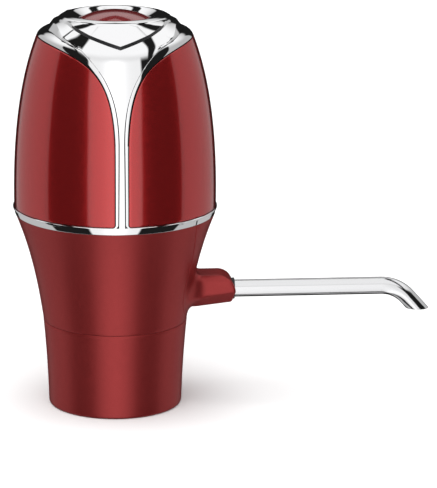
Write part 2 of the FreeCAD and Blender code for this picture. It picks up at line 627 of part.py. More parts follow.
def battery_bay():
    spots = on_circle(4, "cellCircle", 45)
    floor = cylinder("cellCircle + cellRadius", "carrierPlate", "carrierFoot")
    lid = cylinder("cellCircle + cellRadius - 1", "carrierLid", "lidFoot")
    post = cylinder("carrierBore + carrierWall", "lidTop - carrierFoot", "carrierFoot")
    bore = cylinder("carrierBore", "lidTop - carrierFoot + 2", "carrierFoot - 1")
    studs = [cylinder("1.8", "standoff + carrierLid", "lidFoot", x, y)
             for x, y in on_circle(3, "boardRadius - 2.6", 90)]
    pilots = [cylinder("0.7", "3", "boardFoot - 2.2", x, y) for x, y in on_circle(3, "boardRadius - 2.6", 90)]
    holes = [cylinder("shankRadius + 0.1", "carrierPlate + 2", "carrierFoot - 1", x, y)
             for x, y in on_circle(4, "pillarCircle")]
    keep(cut(fuse(floor, lid, post, *studs), bore, *pilots, *holes), "battery_carrier")
    springs, plates = [], []
    for turn, (x, y) in enumerate(spots):
        upright = turn % 2 == 0
        foot = "cellFoot + springRoom" if upright else "cellFoot + cellNub"
        nub = "cellFoot + springRoom + cellLength - cellNub" if upright else "cellFoot"
        can = cylinder("cellRadius", "cellLength - cellNub", foot, x, y)
        keep(fuse(can, cylinder("1.9", "cellNub", nub, x, y)), f"battery_cell_{turn + 1}")
        angle = math.radians(45 + 90 * turn)
        low = size("cellFoot") if upright else size("cellFoot") + size("cellLength")
        bow = feature(leaf_spring(low, low + size("springRoom")))
        bow.Placement = Placement(Vector(size("cellCircle") * math.cos(angle),
                                         size("cellCircle") * math.sin(angle), 0), Rotation())
        springs.append(bow)
        plates.append(cylinder("cellRadius - 1", "contactThick", "carrierFloor", x, y))
        plates.append(cylinder("cellRadius - 1", "contactThick", "lidFoot - contactThick", x, y))
    keep(group(*springs), "contact_springs")
    keep(group(*plates), "contact_plates")


def electronics():
    spots = on_circle(3, "boardRadius - 2.6", 90)
    keep(cut(cylinder("boardRadius", "boardThick", "boardFoot"),
             *[cylinder("0.8", "boardThick + 2", "boardFoot - 1", x, y) for x, y in spots]), "circuit_board")
    keep(group(*[fuse(cylinder("0.7", "3.2", "boardTop - 3.2", x, y),
                      cylinder("1.5", "0.9", "boardTop", x, y)) for x, y in spots]), "board_screws")
    case = block("switchSide", "switchSide", "switchHeight", "-switchSide / 2", "-switchSide / 2", "boardTop")
    well = cylinder("plungerRadius + runGap", "plungerTravel + 1.5", "switchTop - plungerTravel - 0.5")
    keep(cut(case, well), "tact_switch")
    keep(cylinder("plungerRadius", "plungerHeight + 0.4", "switchTop - 0.4"), "switch_plunger")
    for label, side in (("power_wire_red", "4.5"), ("power_wire_black", "-4.5")):
        keep(cylinder("0.6", "boardFoot - motorTop", "motorTop", side), label)


# ---------------------------------------------------------------- cover and button

def upper_liner():
    outer = shifted(upper_curve(), size("frameWall") + size("seatGap"))
    inner = shifted(outer, size("linerWall"))
    foot = size("bandFoot") + 0.1
    skirt = size("bodyRadius") - 0.35 - size("housingWall") - size("slideGap") - 1.1
    edges = [bezier(*outer), bezier(*inner)] + path(outer[-1], inner[-1])
    edges += path(outer[0], (outer[0][0], foot), (skirt, foot), (skirt, foot - 2.4),
                  (skirt - size("linerWall"), foot - 2.4), (skirt - size("linerWall"), foot + 1.2),
                  (inner[0][0], foot + 1.6), inner[0])
    shell = spun(edges)
    top = size("lipLevel") - 1.2
    above = Part.makeCylinder(size("bodyRadius"), size("crownRise"), Vector(0, 0, top))
    keep(feature(shell.cut(above)), "upper_liner")


def chrome_frame():
    top, lip, level = size("crownTop"), size("lipRadius"), size("lipLevel")
    curve, wall = upper_curve(), size("frameWall")
    inner = shifted(curve, wall)
    foot, band, proud = size("bandFoot"), size("bandTop"), size("bandProud")
    bore, roof = size("buttonRadius") + 0.3, size("ceiling")
    wide = size("bodyRadius")
    crown = path(curve[-1], (lip, level + 0.65), (lip - 0.4, level + 1.05), (lip - 3.0, level + 1.7),
                 (lip - 3.5, level + 2.1), (lip - 4.5, level + 3.9), (lip - 5.1, level + 4.4),
                 (lip - 5.8, level + 4.6), (lip - 6.4, level + 4.85), (lip - 7.1, level + 5.45),
                 (lip - 7.5, top - 0.2), (lip - 9.5, top), (lip - 10.1, top - 0.2), (bore + 0.2, top - 1.3),
                 (bore, top - 1.6), (bore, roof), (lip - 7.5, roof), (inner[-1][0] - 0.6, level - 0.4),
                 inner[-1])
    edges = [bezier(*curve), bezier(*inner)] + crown
    edges += path(curve[0], (wide - 0.1 + proud, foot + 2.1), (wide - 0.35 + proud, foot + 0.2),
                  (wide - 0.6 + proud, foot), (inner[0][0], foot), inner[0])
    shell = spun(edges)
    shell = shell.cut(window(0.0)).cut(mirrored(window(0.0)))
    raised = upper_curve(size("shieldProud"))
    ring = path(raised[-1], (lip - 4.5, level + 4.4), (lip - 5.9, level + 4.9), (lip - 6.2, roof),
                (lip - 2.0, level - 0.2), inner[-1])
    shield = spun([bezier(*raised), bezier(*inner)] + ring + path(raised[0], inner[0]))
    bend = level - 28.3
    side = [bezier((0.64, bend), (0.5, level - 13.8), (4.2, level - 7.3), (11.3, level - 0.7))]
    side += path((0.83, band), (0.64, bend))
    side += path((11.3, level - 0.7), (lip - 3.0, level + 1.9), (lip - 3.0, top), (0, top), (0, band),
                 (0.83, band))
    right = front_prism(side)
    peak = spun(path((15.4, top - 0.4), (lip + 0.8, level - 0.7), (lip - 2.5, level - 0.7), (lip - 7.5, roof),
                     (12.4, roof), (12.4, top - 0.4), (15.4, top - 0.4)))
    vee = Part.makePolygon([Vector(0, 0, level - 0.6), Vector(8.6, 0, level + 2.0),
                            Vector(14.4, 0, level + 4.3),
                            Vector(14.4, 0, top), Vector(-14.4, 0, top), Vector(-14.4, 0, level + 4.3),
                            Vector(-8.6, 0, level + 2.0), Vector(0, 0, level - 0.6)])
    solid = shell.fuse([shield.common(right.fuse(mirrored(right))), peak.common(front_prism(vee.Edges))])
    bosses = [cylinder("screwBoss", "ceiling - retainerTop + 0.4", "retainerTop", x, y)
              for x, y in on_circle(3, "retainerCircle", 30)]
    pilots = [cylinder("0.9", "3.4", "retainerTop - 0.4", x, y)
              for x, y in on_circle(3, "retainerCircle", 30)]
    keep(cut(fuse(feature(solid.removeSplitter()), *bosses), *pilots), "chrome_frame")


def side_panels():
    outer = upper_curve()
    inner = shifted(outer, size("frameWall"))
    ring = spun([bezier(*outer), bezier(*inner)] + path(outer[0], inner[0]) + path(outer[-1], inner[-1]))
    right = ring.common(window(size("panelGap")))
    keep(feature(mirrored(right)), "panel_left")
    keep(feature(right), "panel_right")


def button_group():
    radius, flange_foot = size("buttonRadius"), size("flangeFoot")
    flange_top, top = size("flangeTop"), size("crownTop") + size("domeProud")
    edge = top - size("domeRise")
    rim = radius - 0.6
    rise = top - edge - 0.5
    ball = (rim ** 2 + rise ** 2) / (2 * rise)
    half = math.asin(rim / ball) / 2
    arch = Part.Arc(Vector(rim, 0, edge + 0.5),
                    Vector(ball * math.sin(half), 0, top - ball * (1 - math.cos(half))),
                    Vector(0, 0, top)).toShape()
    outer = path((0, top), (0, size("stemFoot")), (size("buttonStem"), size("stemFoot")),
                 (size("buttonStem"), edge - 1.4), (radius - 1.4, edge - 1.4), (radius - 1.4, flange_foot),
                 (radius + size("buttonFlange"), flange_foot), (radius + size("buttonFlange"), flange_top),
                 (radius, flange_top), (radius, edge), (rim, edge + 0.5))
    keep(feature(spun(outer + [arch])), "push_button")
    keep(feature(helix(size("springRadius"), size("springWire") / 2, 3.0, size("retainerTop"), edge - 1.4)),
         "button_spring")
    screws = on_circle(3, "retainerCircle", 30)
    keep(cut(cylinder("retainerRadius", "retainerThick", "retainerFoot"),
             cylinder("buttonStem + slideGap", "retainerThick + 2", "retainerFoot - 1"),
             *[cylinder("1.0", "retainerThick + 2", "retainerFoot - 1", x, y) for x, y in screws]),
         "button_retainer")
    keep(group(*[fuse(cylinder("0.9", "retainerThick + 2.6", "retainerFoot", x, y),
                      cylinder("1.7", "0.9", "retainerFoot - 0.9", x, y)) for x, y in screws]),
         "retainer_screws")


def write():
    doc.recompute()
    for item in doc.Objects:
        if "Invalid" in item.State or "Error" in item.State:
            raise RuntimeError(f"{item.Label} failed: {item.State}")
    os.makedirs("parts", exist_ok=True)
    for item in nodes:
        if item.Shape.isNull() or not item.Shape.isValid() or not item.Shape.Solids:
            raise RuntimeError(f"{item.Label} has no sound shape")
    for item in nodes:
        item.Shape.exportStep(f"parts/{item.Label}.step")
        box = item.Shape.BoundBox
        print(f"{item.Label:18} {len(item.Shape.Solids)} solids, {item.Shape.Volume:9.1f} mm3, "
              f"Z {box.ZMin:6.2f} to {box.ZMax:6.2f}")


bottle_collar()
bottle_stopper()
wine_elbow()
air_line()
lower_housing()
spout_bridge()
spout_tube()
chassis()
pump_head()
crank()
motor()
battery_bay()
electronics()
upper_liner()
chrome_frame()
side_panels()
button_group()
write()
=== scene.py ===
import json
from bisect import bisect_left
from functools import lru_cache
from math import asin, atan2, cos, degrees, pi, radians, sin, sqrt

import bmesh
import bpy
from mathutils import Matrix, Vector


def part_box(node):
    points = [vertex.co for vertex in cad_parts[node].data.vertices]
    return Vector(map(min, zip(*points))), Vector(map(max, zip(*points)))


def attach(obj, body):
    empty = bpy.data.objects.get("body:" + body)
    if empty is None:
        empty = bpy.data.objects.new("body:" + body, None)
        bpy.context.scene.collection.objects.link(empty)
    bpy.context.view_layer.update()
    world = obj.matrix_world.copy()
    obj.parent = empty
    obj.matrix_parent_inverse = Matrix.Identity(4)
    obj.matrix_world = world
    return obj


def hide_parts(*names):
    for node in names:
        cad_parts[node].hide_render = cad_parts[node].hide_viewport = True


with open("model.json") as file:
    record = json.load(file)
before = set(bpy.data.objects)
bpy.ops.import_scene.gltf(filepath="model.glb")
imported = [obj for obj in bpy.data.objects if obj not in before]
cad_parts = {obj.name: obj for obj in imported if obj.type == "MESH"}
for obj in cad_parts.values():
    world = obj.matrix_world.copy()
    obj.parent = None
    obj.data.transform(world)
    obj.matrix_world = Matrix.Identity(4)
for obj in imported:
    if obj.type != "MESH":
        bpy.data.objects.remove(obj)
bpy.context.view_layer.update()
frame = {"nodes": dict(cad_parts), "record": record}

mm = 0.001
fineSteps = 600  # divisions of a curve that others read a radius from
print("frame loaded")

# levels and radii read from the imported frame, in metres
bodySettings = {"lipDrop": 6.1 * mm, "bandHeight": 2.2 * mm, "linerGap": 1.65 * mm, "lipRadius": 22.9 * mm,
                "crownSlope": 0.38}
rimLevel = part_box("bottle_collar")[0].z
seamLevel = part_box("bottle_collar")[1].z
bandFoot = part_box("chrome_frame")[0].z
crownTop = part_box("chrome_frame")[1].z
lipLevel = crownTop - bodySettings["lipDrop"]
bandTop = bandFoot + bodySettings["bandHeight"]
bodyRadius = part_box("upper_liner")[1].x + bodySettings["linerGap"]
spoutLevel = (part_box("spout_sleeve")[0].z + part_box("spout_sleeve")[1].z) / 2
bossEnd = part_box("spout_bridge")[1].x
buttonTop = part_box("push_button")[1].z


# camera and studio

cameraSettings = {"place": (-58.1, -864.4, 252.5), "aim": (31.0, 0, 25.98), "lens": 221.2, "roll": 0.47,
                  "sensor": 36, "near": 0.05, "far": 30}
studio = {"turn": -3.9, "softness": 2.0, "lift": 0.22,
          "frontEdge": 31.0, "sideEdge": 82.0, "rearEdge": 152.0,  # degrees round from the front
          "front": 0.92, "glow": 0.40, "glowWidth": 13.0, "dark": 0.012,
          "wallLow": 0.50, "wallHigh": 1.0, "wallMiddle": 0.5, "wallSoft": 0.2,
          "ceiling": 0.50, "ceilingSoft": 0.06, "rearTop": 0.38, "rearSoft": 0.04, "leastRise": 0.05,
          "slantSide": 0.79, "slantToward": -0.605, "beyond": 0.52, "beyondSoft": 0.05,
          "stripStart": 0.36, "stripStop": 0.60, "stripSoft": 0.03, "stripShift": 0.22,
          "stripInner": 0.25, "innerSoft": 0.02}
floorSettings = {"size": 6.0, "tone": 0.93, "roughness": 0.9, "shine": 0.1}
lampSettings = {"energy": 2.2, "angle": 50, "tilt": (8, -6, 0)}


def placeCamera():
    data = bpy.data.cameras.new("camera")
    data.lens = cameraSettings["lens"]
    data.sensor_width = cameraSettings["sensor"]
    data.clip_start = cameraSettings["near"]
    data.clip_end = cameraSettings["far"]
    camera = bpy.data.objects.new("camera", data)
    bpy.context.scene.collection.objects.link(camera)
    place = Vector(cameraSettings["place"]) * mm
    aim = Vector(cameraSettings["aim"]) * mm
    look = (aim - place).to_track_quat("-Z", "Y").to_matrix().to_4x4()
    roll = Matrix.Rotation(radians(cameraSettings["roll"]), 4, "Z")
    camera.matrix_world = Matrix.Translation(place) @ look @ roll
    bpy.context.scene.camera = camera


def mathNode(nodes, links, kind, first, second=None, third=None):
    node = nodes.new("ShaderNodeMath")
    node.operation = kind
    for socket, value in zip(node.inputs, (first, second, third)):
        if value is None:
            continue
        if isinstance(value, (int, float)):
            socket.default_value = value
        else:
            links.new(value, socket)
    return node.outputs[0]


def softStep(nodes, links, value, edge, width):
    node = nodes.new("ShaderNodeMapRange")
    node.interpolation_type = "SMOOTHSTEP"
    links.new(value, node.inputs["Value"])
    node.inputs["From Min"].default_value = edge - width
    node.inputs["From Max"].default_value = edge + width
    return node.outputs["Result"]


def makeStudio():
    # white walls in front and behind, dark flags to both sides and below, as in a product studio
    world = bpy.data.worlds.new("studio")
    bpy.context.scene.world = world
    world.use_nodes = True
    nodes, links = world.node_tree.nodes, world.node_tree.links

    def calc(kind, *values):
        return mathNode(nodes, links, kind, *values)

    def step(value, edge, width):
        return softStep(nodes, links, value, edge, width)

    background = nodes["Background"]
    coords = nodes.new("ShaderNodeTexCoord")
    turn = nodes.new("ShaderNodeMapping")
    turn.inputs["Rotation"].default_value = (0, 0, radians(-studio["turn"]))
    links.new(coords.outputs["Generated"], turn.inputs["Vector"])
    split = nodes.new("ShaderNodeSeparateXYZ")
    links.new(turn.outputs["Vector"], split.inputs["Vector"])
    side = calc("ABSOLUTE", split.outputs["X"])
    toward = calc("MULTIPLY", split.outputs["Y"], -1.0)
    azimuth = calc("ARCTAN2", side, toward)
    height = split.outputs["Z"]
    lift = calc("MULTIPLY", calc("MAXIMUM", height, 0.0), studio["lift"])
    lifted = calc("SUBTRACT", azimuth, lift)
    soft = radians(studio["softness"])
    # a panel in front that is brightest at its middle, and weaker walls at the sides
    narrow = calc("DIVIDE", azimuth, radians(studio["glowWidth"]))
    glow = calc("EXPONENT", calc("MULTIPLY", narrow, calc("MULTIPLY", narrow, -1.0)))
    front = calc("MULTIPLY_ADD", glow, studio["glow"], studio["front"])
    wall = calc("MULTIPLY_ADD", step(height, studio["wallMiddle"], studio["wallSoft"]),
                studio["wallHigh"] - studio["wallLow"], studio["wallLow"])
    start = step(lifted, radians(studio["frontEdge"]), soft)
    stop = step(lifted, radians(studio["sideEdge"]), soft)
    rear = step(azimuth, radians(studio["rearEdge"]), soft)
    # low down the flags stand beside the object, high up they lean over it as two slanting strips
    high = step(height, studio["ceiling"], studio["ceilingSoft"])
    rise = calc("MAXIMUM", height, studio["leastRise"])
    slant = calc("DIVIDE", calc("MULTIPLY_ADD", side, studio["slantSide"],
                                calc("MULTIPLY", toward, studio["slantToward"])), rise)
    away = calc("DIVIDE", calc("MULTIPLY", toward, -1.0), rise)
    beyond = step(away, studio["beyond"], studio["beyondSoft"])
    slant = calc("MULTIPLY_ADD", beyond, -studio["stripShift"], slant)
    strip = calc("SUBTRACT", step(slant, studio["stripStart"], studio["stripSoft"]),
                 step(slant, studio["stripStop"], studio["stripSoft"]))
    outward = calc("DIVIDE", side, rise)
    inside = step(outward, studio["stripInner"], studio["innerSoft"])
    strip = calc("MULTIPLY", strip, calc("MAXIMUM", inside, beyond))
    beside = calc("SUBTRACT", start, stop)
    flags = calc("MULTIPLY_ADD", calc("SUBTRACT", strip, beside), high, beside)
    above = step(height, studio["rearTop"], studio["rearSoft"])
    behind = calc("MULTIPLY", rear, calc("SUBTRACT", 1.0, above))
    flags = calc("MAXIMUM", flags, behind)
    lit = calc("SUBTRACT", 1.0, flags)
    sideways = calc("MAXIMUM", stop, high)
    frontShare = calc("MULTIPLY", lit, calc("SUBTRACT", 1.0, sideways))
    wallShare = calc("MULTIPLY", lit, sideways)
    light = calc("ADD", calc("MULTIPLY", front, frontShare), calc("MULTIPLY", wall, wallShare))
    light = calc("ADD", light, studio["dark"])
    links.new(light, background.inputs["Strength"])
    background.inputs["Color"].default_value = (1, 1, 1, 1)


def makeFloor():
    mesh = bpy.data.meshes.new("floor")
    bm = bmesh.new()
    bmesh.ops.create_grid(bm, x_segments=2, y_segments=2, size=floorSettings["size"])
    bm.to_mesh(mesh)
    bm.free()
    floor = bpy.data.objects.new("floor", mesh)
    floor.location = (0, 0, rimLevel)
    bpy.context.scene.collection.objects.link(floor)
    pale = bpy.data.materials.new("paleFloor")
    pale.use_nodes = True
    shader = pale.node_tree.nodes["Principled BSDF"]
    shader.inputs["Base Color"].default_value = (*(floorSettings["tone"],) * 3, 1)
    shader.inputs["Roughness"].default_value = floorSettings["roughness"]
    shader.inputs["Specular IOR Level"].default_value = floorSettings["shine"]
    mesh.materials.append(pale)
    floor.visible_glossy = False


def makeLamp():
    lamp = bpy.data.lights.new("topLight", "SUN")
    lamp.energy = lampSettings["energy"]
    lamp.angle = radians(lampSettings["angle"])
    top = bpy.data.objects.new("topLight", lamp)
    top.rotation_euler = [radians(angle) for angle in lampSettings["tilt"]]
    top.visible_glossy = False
    bpy.context.scene.collection.objects.link(top)


placeCamera()
makeStudio()
makeFloor()
makeLamp()
bpy.context.scene.view_settings.view_transform = "Standard"
print("camera and studio ready")


# materials

def newMaterial(name, color, metallic, roughness, coat=0.0, coatRoughness=0.03):
    material = bpy.data.materials.new(name)
    material.use_nodes = True
    shader = material.node_tree.nodes["Principled BSDF"]
    shader.inputs["Base Color"].default_value = (*color, 1)
    shader.inputs["Metallic"].default_value = metallic
    shader.inputs["Roughness"].default_value = roughness
    shader.inputs["Coat Weight"].default_value = coat
    shader.inputs["Coat Roughness"].default_value = coatRoughness
    return material


def noiseField(material, scale, detail=3.0, stretch=(1, 1, 1)):
    nodes, links = material.node_tree.nodes, material.node_tree.links
    coords = nodes.new("ShaderNodeTexCoord")
    mapping = nodes.new("ShaderNodeMapping")
    mapping.inputs["Scale"].default_value = stretch
    noise = nodes.new("ShaderNodeTexNoise")
    noise.inputs["Scale"].default_value = scale
    noise.inputs["Detail"].default_value = detail
    links.new(coords.outputs["Object"], mapping.inputs["Vector"])
    links.new(mapping.outputs["Vector"], noise.inputs["Vector"])
    return noise.outputs["Fac"]


def vary(material, field, socket, low, high):
    nodes, links = material.node_tree.nodes, material.node_tree.links
    spread = nodes.new("ShaderNodeMapRange")
    links.new(field, spread.inputs["Value"])
    spread.inputs["From Min"].default_value = 0.3
    spread.inputs["From Max"].default_value = 0.7
    spread.inputs["To Min"].default_value = low
    spread.inputs["To Max"].default_value = high
    links.new(spread.outputs["Result"], nodes["Principled BSDF"].inputs[socket])


def tint(material, field, first, second):
    nodes, links = material.node_tree.nodes, material.node_tree.links
    mix = nodes.new("ShaderNodeMix")
    mix.data_type = "RGBA"
    links.new(field, mix.inputs["Factor"])
    mix.inputs[6].default_value = (*first, 1)
    mix.inputs[7].default_value = (*second, 1)
    links.new(mix.outputs[2], nodes["Principled BSDF"].inputs["Base Color"])


def bump(material, field, strength, distance):
    nodes, links = material.node_tree.nodes, material.node_tree.links
    node = nodes.new("ShaderNodeBump")
    node.inputs["Strength"].default_value = strength
    node.inputs["Distance"].default_value = distance
    links.new(field, node.inputs["Height"])
    links.new(node.outputs["Normal"], nodes["Principled BSDF"].inputs["Normal"])


def edgeTint(material, color):
    material.node_tree.nodes["Principled BSDF"].inputs["Specular Tint"].default_value = (*color, 1)


def satinRed():
    # fine aluminium flake under a satin lacquer
    material = newMaterial("satinRed", (0.34, 0.032, 0.032), 0.72, 0.38, 0.25, 0.3)
    edgeTint(material, (0.6, 0.35, 0.35))
    flake = noiseField(material, 5200, 2.0)
    tint(material, flake, (0.28, 0.024, 0.025), (0.40, 0.042, 0.041))
    vary(material, noiseField(material, 900, 2.0), "Roughness", 0.35, 0.43)
    return material


def glossRed():
    # metallic red base under a clear coat
    material = newMaterial("glossRed", (0.50, 0.02, 0.02), 0.80, 0.17, 1.0, 0.015)
    edgeTint(material, (0.7, 0.35, 0.35))
    flake = noiseField(material, 6500, 2.0)
    tint(material, flake, (0.42, 0.016, 0.018), (0.56, 0.030, 0.030))
    material.node_tree.nodes["Principled BSDF"].inputs["Coat IOR"].default_value = 1.6
    vary(material, noiseField(material, 700, 2.0), "Roughness", 0.19, 0.25)
    return material


def buttonRed():
    material = newMaterial("buttonRed", (0.20, 0.004, 0.006), 0.35, 0.22, 1.0, 0.02)
    tint(material, noiseField(material, 4200, 2.0), (0.16, 0.003, 0.004), (0.24, 0.006, 0.008))
    return material


def chromePlate():
    material = newMaterial("chromePlate", (0.93, 0.93, 0.94), 1.0, 0.03)
    vary(material, noiseField(material, 420, 4.0, (1, 1, 0.3)), "Roughness", 0.015, 0.05)
    return material


def spoutSteel():
    material = newMaterial("spoutSteel", (0.80, 0.80, 0.81), 1.0, 0.10)
    grain = noiseField(material, 2600, 3.0, (0.02, 1, 1))
    vary(material, grain, "Roughness", 0.07, 0.14)
    bump(material, grain, 0.05, 0.00002)
    return material


def mouldedPlastic(name, color, roughness=0.45):
    material = newMaterial(name, color, 0.0, roughness)
    grain = noiseField(material, 3200, 3.0)
    vary(material, grain, "Roughness", roughness - 0.06, roughness + 0.08)
    bump(material, grain, 0.12, 0.00003)
    return material


def softRubber(name, color):
    material = newMaterial(name, color, 0.0, 0.62)
    grain = noiseField(material, 1800, 4.0)
    vary(material, grain, "Roughness", 0.55, 0.72)
    bump(material, grain, 0.2, 0.00004)
    return material


def plainMetal(name, color, roughness, stretch=(1, 1, 1)):
    material = newMaterial(name, color, 1.0, roughness)
    grain = noiseField(material, 2200, 3.0, stretch)
    vary(material, grain, "Roughness", roughness - 0.06, roughness + 0.08)
    bump(material, grain, 0.06, 0.00002)
    return material


finishes = {
    "satin_red": satinRed(), "gloss_red": glossRed(), "button_red": buttonRed(), "chrome": chromePlate(),
    "steel": spoutSteel(), "stopper_rubber": softRubber("stopperRubber", (0.05, 0.05, 0.052)),
    "food_plastic": mouldedPlastic("foodPlastic", (0.72, 0.72, 0.70), 0.38),
    "hose_silicone": softRubber("hoseSilicone", (0.70, 0.70, 0.68)),
    "valve_white": mouldedPlastic("valveWhite", (0.78, 0.78, 0.77), 0.3),
    "seal_rubber": softRubber("sealRubber", (0.02, 0.02, 0.021)),
    "black_plastic": mouldedPlastic("blackPlastic", (0.018, 0.018, 0.02), 0.42),
    "screw_steel": plainMetal("screwSteel", (0.55, 0.55, 0.56), 0.3),
    "pump_grey": mouldedPlastic("pumpGrey", (0.26, 0.27, 0.28), 0.45),
    "pom_white": mouldedPlastic("acetalWhite", (0.82, 0.82, 0.80), 0.35),
    "shaft_steel": plainMetal("shaftSteel", (0.62, 0.62, 0.63), 0.2, (1, 1, 0.1)),
    "motor_steel": plainMetal("motorCan", (0.60, 0.60, 0.60), 0.33, (1, 1, 0.1)),
    "magnet": softRubber("ferrite", (0.06, 0.06, 0.065)),
    "rotor_iron": plainMetal("rotorIron", (0.28, 0.28, 0.29), 0.4, (1, 1, 6)),
    "copper": plainMetal("windingCopper", (0.72, 0.32, 0.15), 0.3, (1, 1, 8)),
    "cell_jacket": mouldedPlastic("cellJacket", (0.10, 0.11, 0.13), 0.28),
    "contact_metal": plainMetal("contactMetal", (0.72, 0.72, 0.70), 0.26),
    "board_green": mouldedPlastic("boardGreen", (0.02, 0.16, 0.06), 0.3),
    "switch_black": mouldedPlastic("switchBlack", (0.03, 0.03, 0.03), 0.4),
    "wire_red": softRubber("wireRed", (0.45, 0.02, 0.02)),
    "wire_black": softRubber("wireBlack", (0.015, 0.015, 0.015)),
}
finishes["bridge_red"] = finishes["satin_red"]
for entry in frame["record"]["subparts"]:
    node = frame["nodes"][entry["node"]]
    node.data.materials.clear()
    node.data.materials.append(finishes[entry["material_slot"]])
print("materials ready")


# shared curves, measured as radius and height

def mix(first, second, share):
    return first + (second - first) * share


def ease(value, start, stop):
    share = min(max((value - start) / (stop - start), 0.0), 1.0)
    return share * share * (3 - 2 * share)


def curvePoint(poles, share):
    rest = 1 - share
    weights = (rest ** 3, 3 * share * rest ** 2, 3 * share ** 2 * rest, share ** 3)
    return [sum(weight * pole[axis] for weight, pole in zip(weights, poles)) for axis in (0, 1)]


def curveLine(poles, count):
    return [tuple(curvePoint(poles, i / count)) for i in range(count + 1)]


def acrossAt(line, level):
    # where a finely divided rising curve reaches a level
    place = min(max(bisect_left(line, level, key=lambda point: point[1]), 1), len(line) - 1)
    (startAcross, startLevel), (stopAcross, stopLevel) = line[place - 1], line[place]
    share = (level - startLevel) / (stopLevel - startLevel)
    return mix(startAcross, stopAcross, min(max(share, 0.0), 1.0))


def solve(gap, low, high, halvings=26):
    # the place between low and high where gap changes from positive to negative
    for _ in range(halvings):
        middle = (low + high) / 2
        if gap(middle) > 0:
            low = middle
        else:
            high = middle
    return (low + high) / 2


upperRise = lipLevel - bandTop
lipRadius = bodySettings["lipRadius"]
upperPoles = [(bodyRadius - 0.05 * mm, bandTop), (bodyRadius + 0.15 * mm, bandTop + 0.33 * upperRise),
              (lipRadius + 0.85 * (bodyRadius - lipRadius), bandTop + 0.70 * upperRise),
              (lipRadius, lipLevel)]
upperLine = curveLine(upperPoles, fineSteps)


def bodyAt(level):
    if level >= lipLevel:
        return lipRadius - bodySettings["crownSlope"] * (level - lipLevel)
    return acrossAt(upperLine, level)


def onBody(turn, radius, level):
    # turn is measured from the front rib towards the spout
    return Vector((radius * sin(turn), -radius * cos(turn), level))


# mesh helpers

def ringSweep(rings, closedRing=True, closedPath=False):
    # a skin over rings of points, grown by extruding the first ring's edges
    bm = bmesh.new()
    verts = [bm.verts.new(point) for point in rings[0]]
    count = len(verts)
    spans = count if closedRing else count - 1
    edges = [bm.edges.new((verts[i], verts[(i + 1) % count])) for i in range(spans)]
    firstEdges = edges
    for ring in rings[1:]:
        grown = bmesh.ops.extrude_edge_only(bm, edges=edges)["geom"]
        fresh = {item for item in grown if isinstance(item, bmesh.types.BMVert)}
        moved = []
        for vert, point in zip(verts, ring):
            twin = next(edge.other_vert(vert) for edge in vert.link_edges if edge.other_vert(vert) in fresh)
            twin.co = point
            moved.append(twin)
        verts = moved
        edges = [bm.edges.get((verts[i], verts[(i + 1) % count])) for i in range(spans)]
    if closedPath:
        bmesh.ops.bridge_loops(bm, edges=firstEdges + edges)
    return bm, firstEdges, edges


def spinShape(outline, steps=180):
    bm = bmesh.new()
    verts = [bm.verts.new((radius, 0, level)) for radius, level in outline]
    edges = [bm.edges.new((verts[i], verts[(i + 1) % len(verts)])) for i in range(len(verts))]
    bmesh.ops.spin(bm, geom=verts + edges, cent=(0, 0, 0), axis=(0, 0, 1), angle=2 * pi, steps=steps,
                   use_merge=True)
    bmesh.ops.remove_doubles(bm, verts=bm.verts, dist=0.002 * mm)
    return bm


def softened(points, steps=4):
    # an outline with rounded corners: each point is radius, level and how far the rounding reaches
    outline = []
    count = len(points)
    for i, (radius, level, reach) in enumerate(points):
        here = Vector((radius, level))
        before = Vector(points[i - 1][:2]) - here
        after = Vector(points[(i + 1) % count][:2]) - here
        if reach <= 0:
            outline.append(tuple(here))
            continue
        start = here + before.normalized() * min(reach, before.length * 0.49)
        stop = here + after.normalized() * min(reach, after.length * 0.49)
        for step in range(steps + 1):
            share = step / steps
            point = start * (1 - share) ** 2 + here * 2 * share * (1 - share) + stop * share ** 2
            outline.append(tuple(point))
    return outline


def finishPiece(bm, name, slot, body, nodes=(), sharp=40):
    bmesh.ops.recalc_face_normals(bm, faces=bm.faces)
    mesh = bpy.data.meshes.new(name)
    bm.to_mesh(mesh)
    bm.free()
    for face in mesh.polygons:
        face.use_smooth = True
    mesh.set_sharp_from_angle(angle=radians(sharp))
    mesh.materials.append(finishes[slot])
    piece = bpy.data.objects.new(name, mesh)
    bpy.context.scene.collection.objects.link(piece)
    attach(piece, body)
    if nodes:
        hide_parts(*nodes)
    return piece


def joined(target, extra):
    # adds one mesh's faces to another and frees it
    scratch = bpy.data.meshes.new("scratch")
    extra.to_mesh(scratch)
    extra.free()
    target.from_mesh(scratch)
    bpy.data.meshes.remove(scratch)
    return target


# collar and lower housing

lowerSettings = {"rimRadius": 19.95 * mm, "seamRadius": 21.5 * mm, "wall": 1.7 * mm, "seamRound": 0.22 * mm,
                 "rimRound": 0.9 * mm, "edgeIn": 0.08 * mm, "edgeUp": 0.06 * mm, "wellRadius": 12.9 * mm,
                 "wellFoot": 1.4 * mm, "boreRadius": 11.0 * mm, "deckRadius": 14.7 * mm,
                 "deckRise": 1.6 * mm, "floorThick": 2.0 * mm, "floorBore": 10.8 * mm}
collarPoles = [(lowerSettings["rimRadius"], rimLevel + 1.0 * mm),
               (lowerSettings["rimRadius"] + 0.25 * mm, rimLevel + 10.0 * mm),
               (lowerSettings["seamRadius"] - 0.75 * mm, rimLevel + 18.1 * mm),
               (lowerSettings["seamRadius"], seamLevel - lowerSettings["seamRound"])]
flareRise = bandFoot - seamLevel
flarePoles = [(lowerSettings["seamRadius"], seamLevel + lowerSettings["seamRound"]),
              (lowerSettings["seamRadius"] + 1.7 * mm, seamLevel + 0.37 * flareRise),
              (bodyRadius - 4.55 * mm, bandFoot - 0.31 * flareRise), (bodyRadius - 0.35 * mm, bandFoot)]
flareLine = curveLine(flarePoles, fineSteps)


def flareAt(level):
    return acrossAt(flareLine, level)


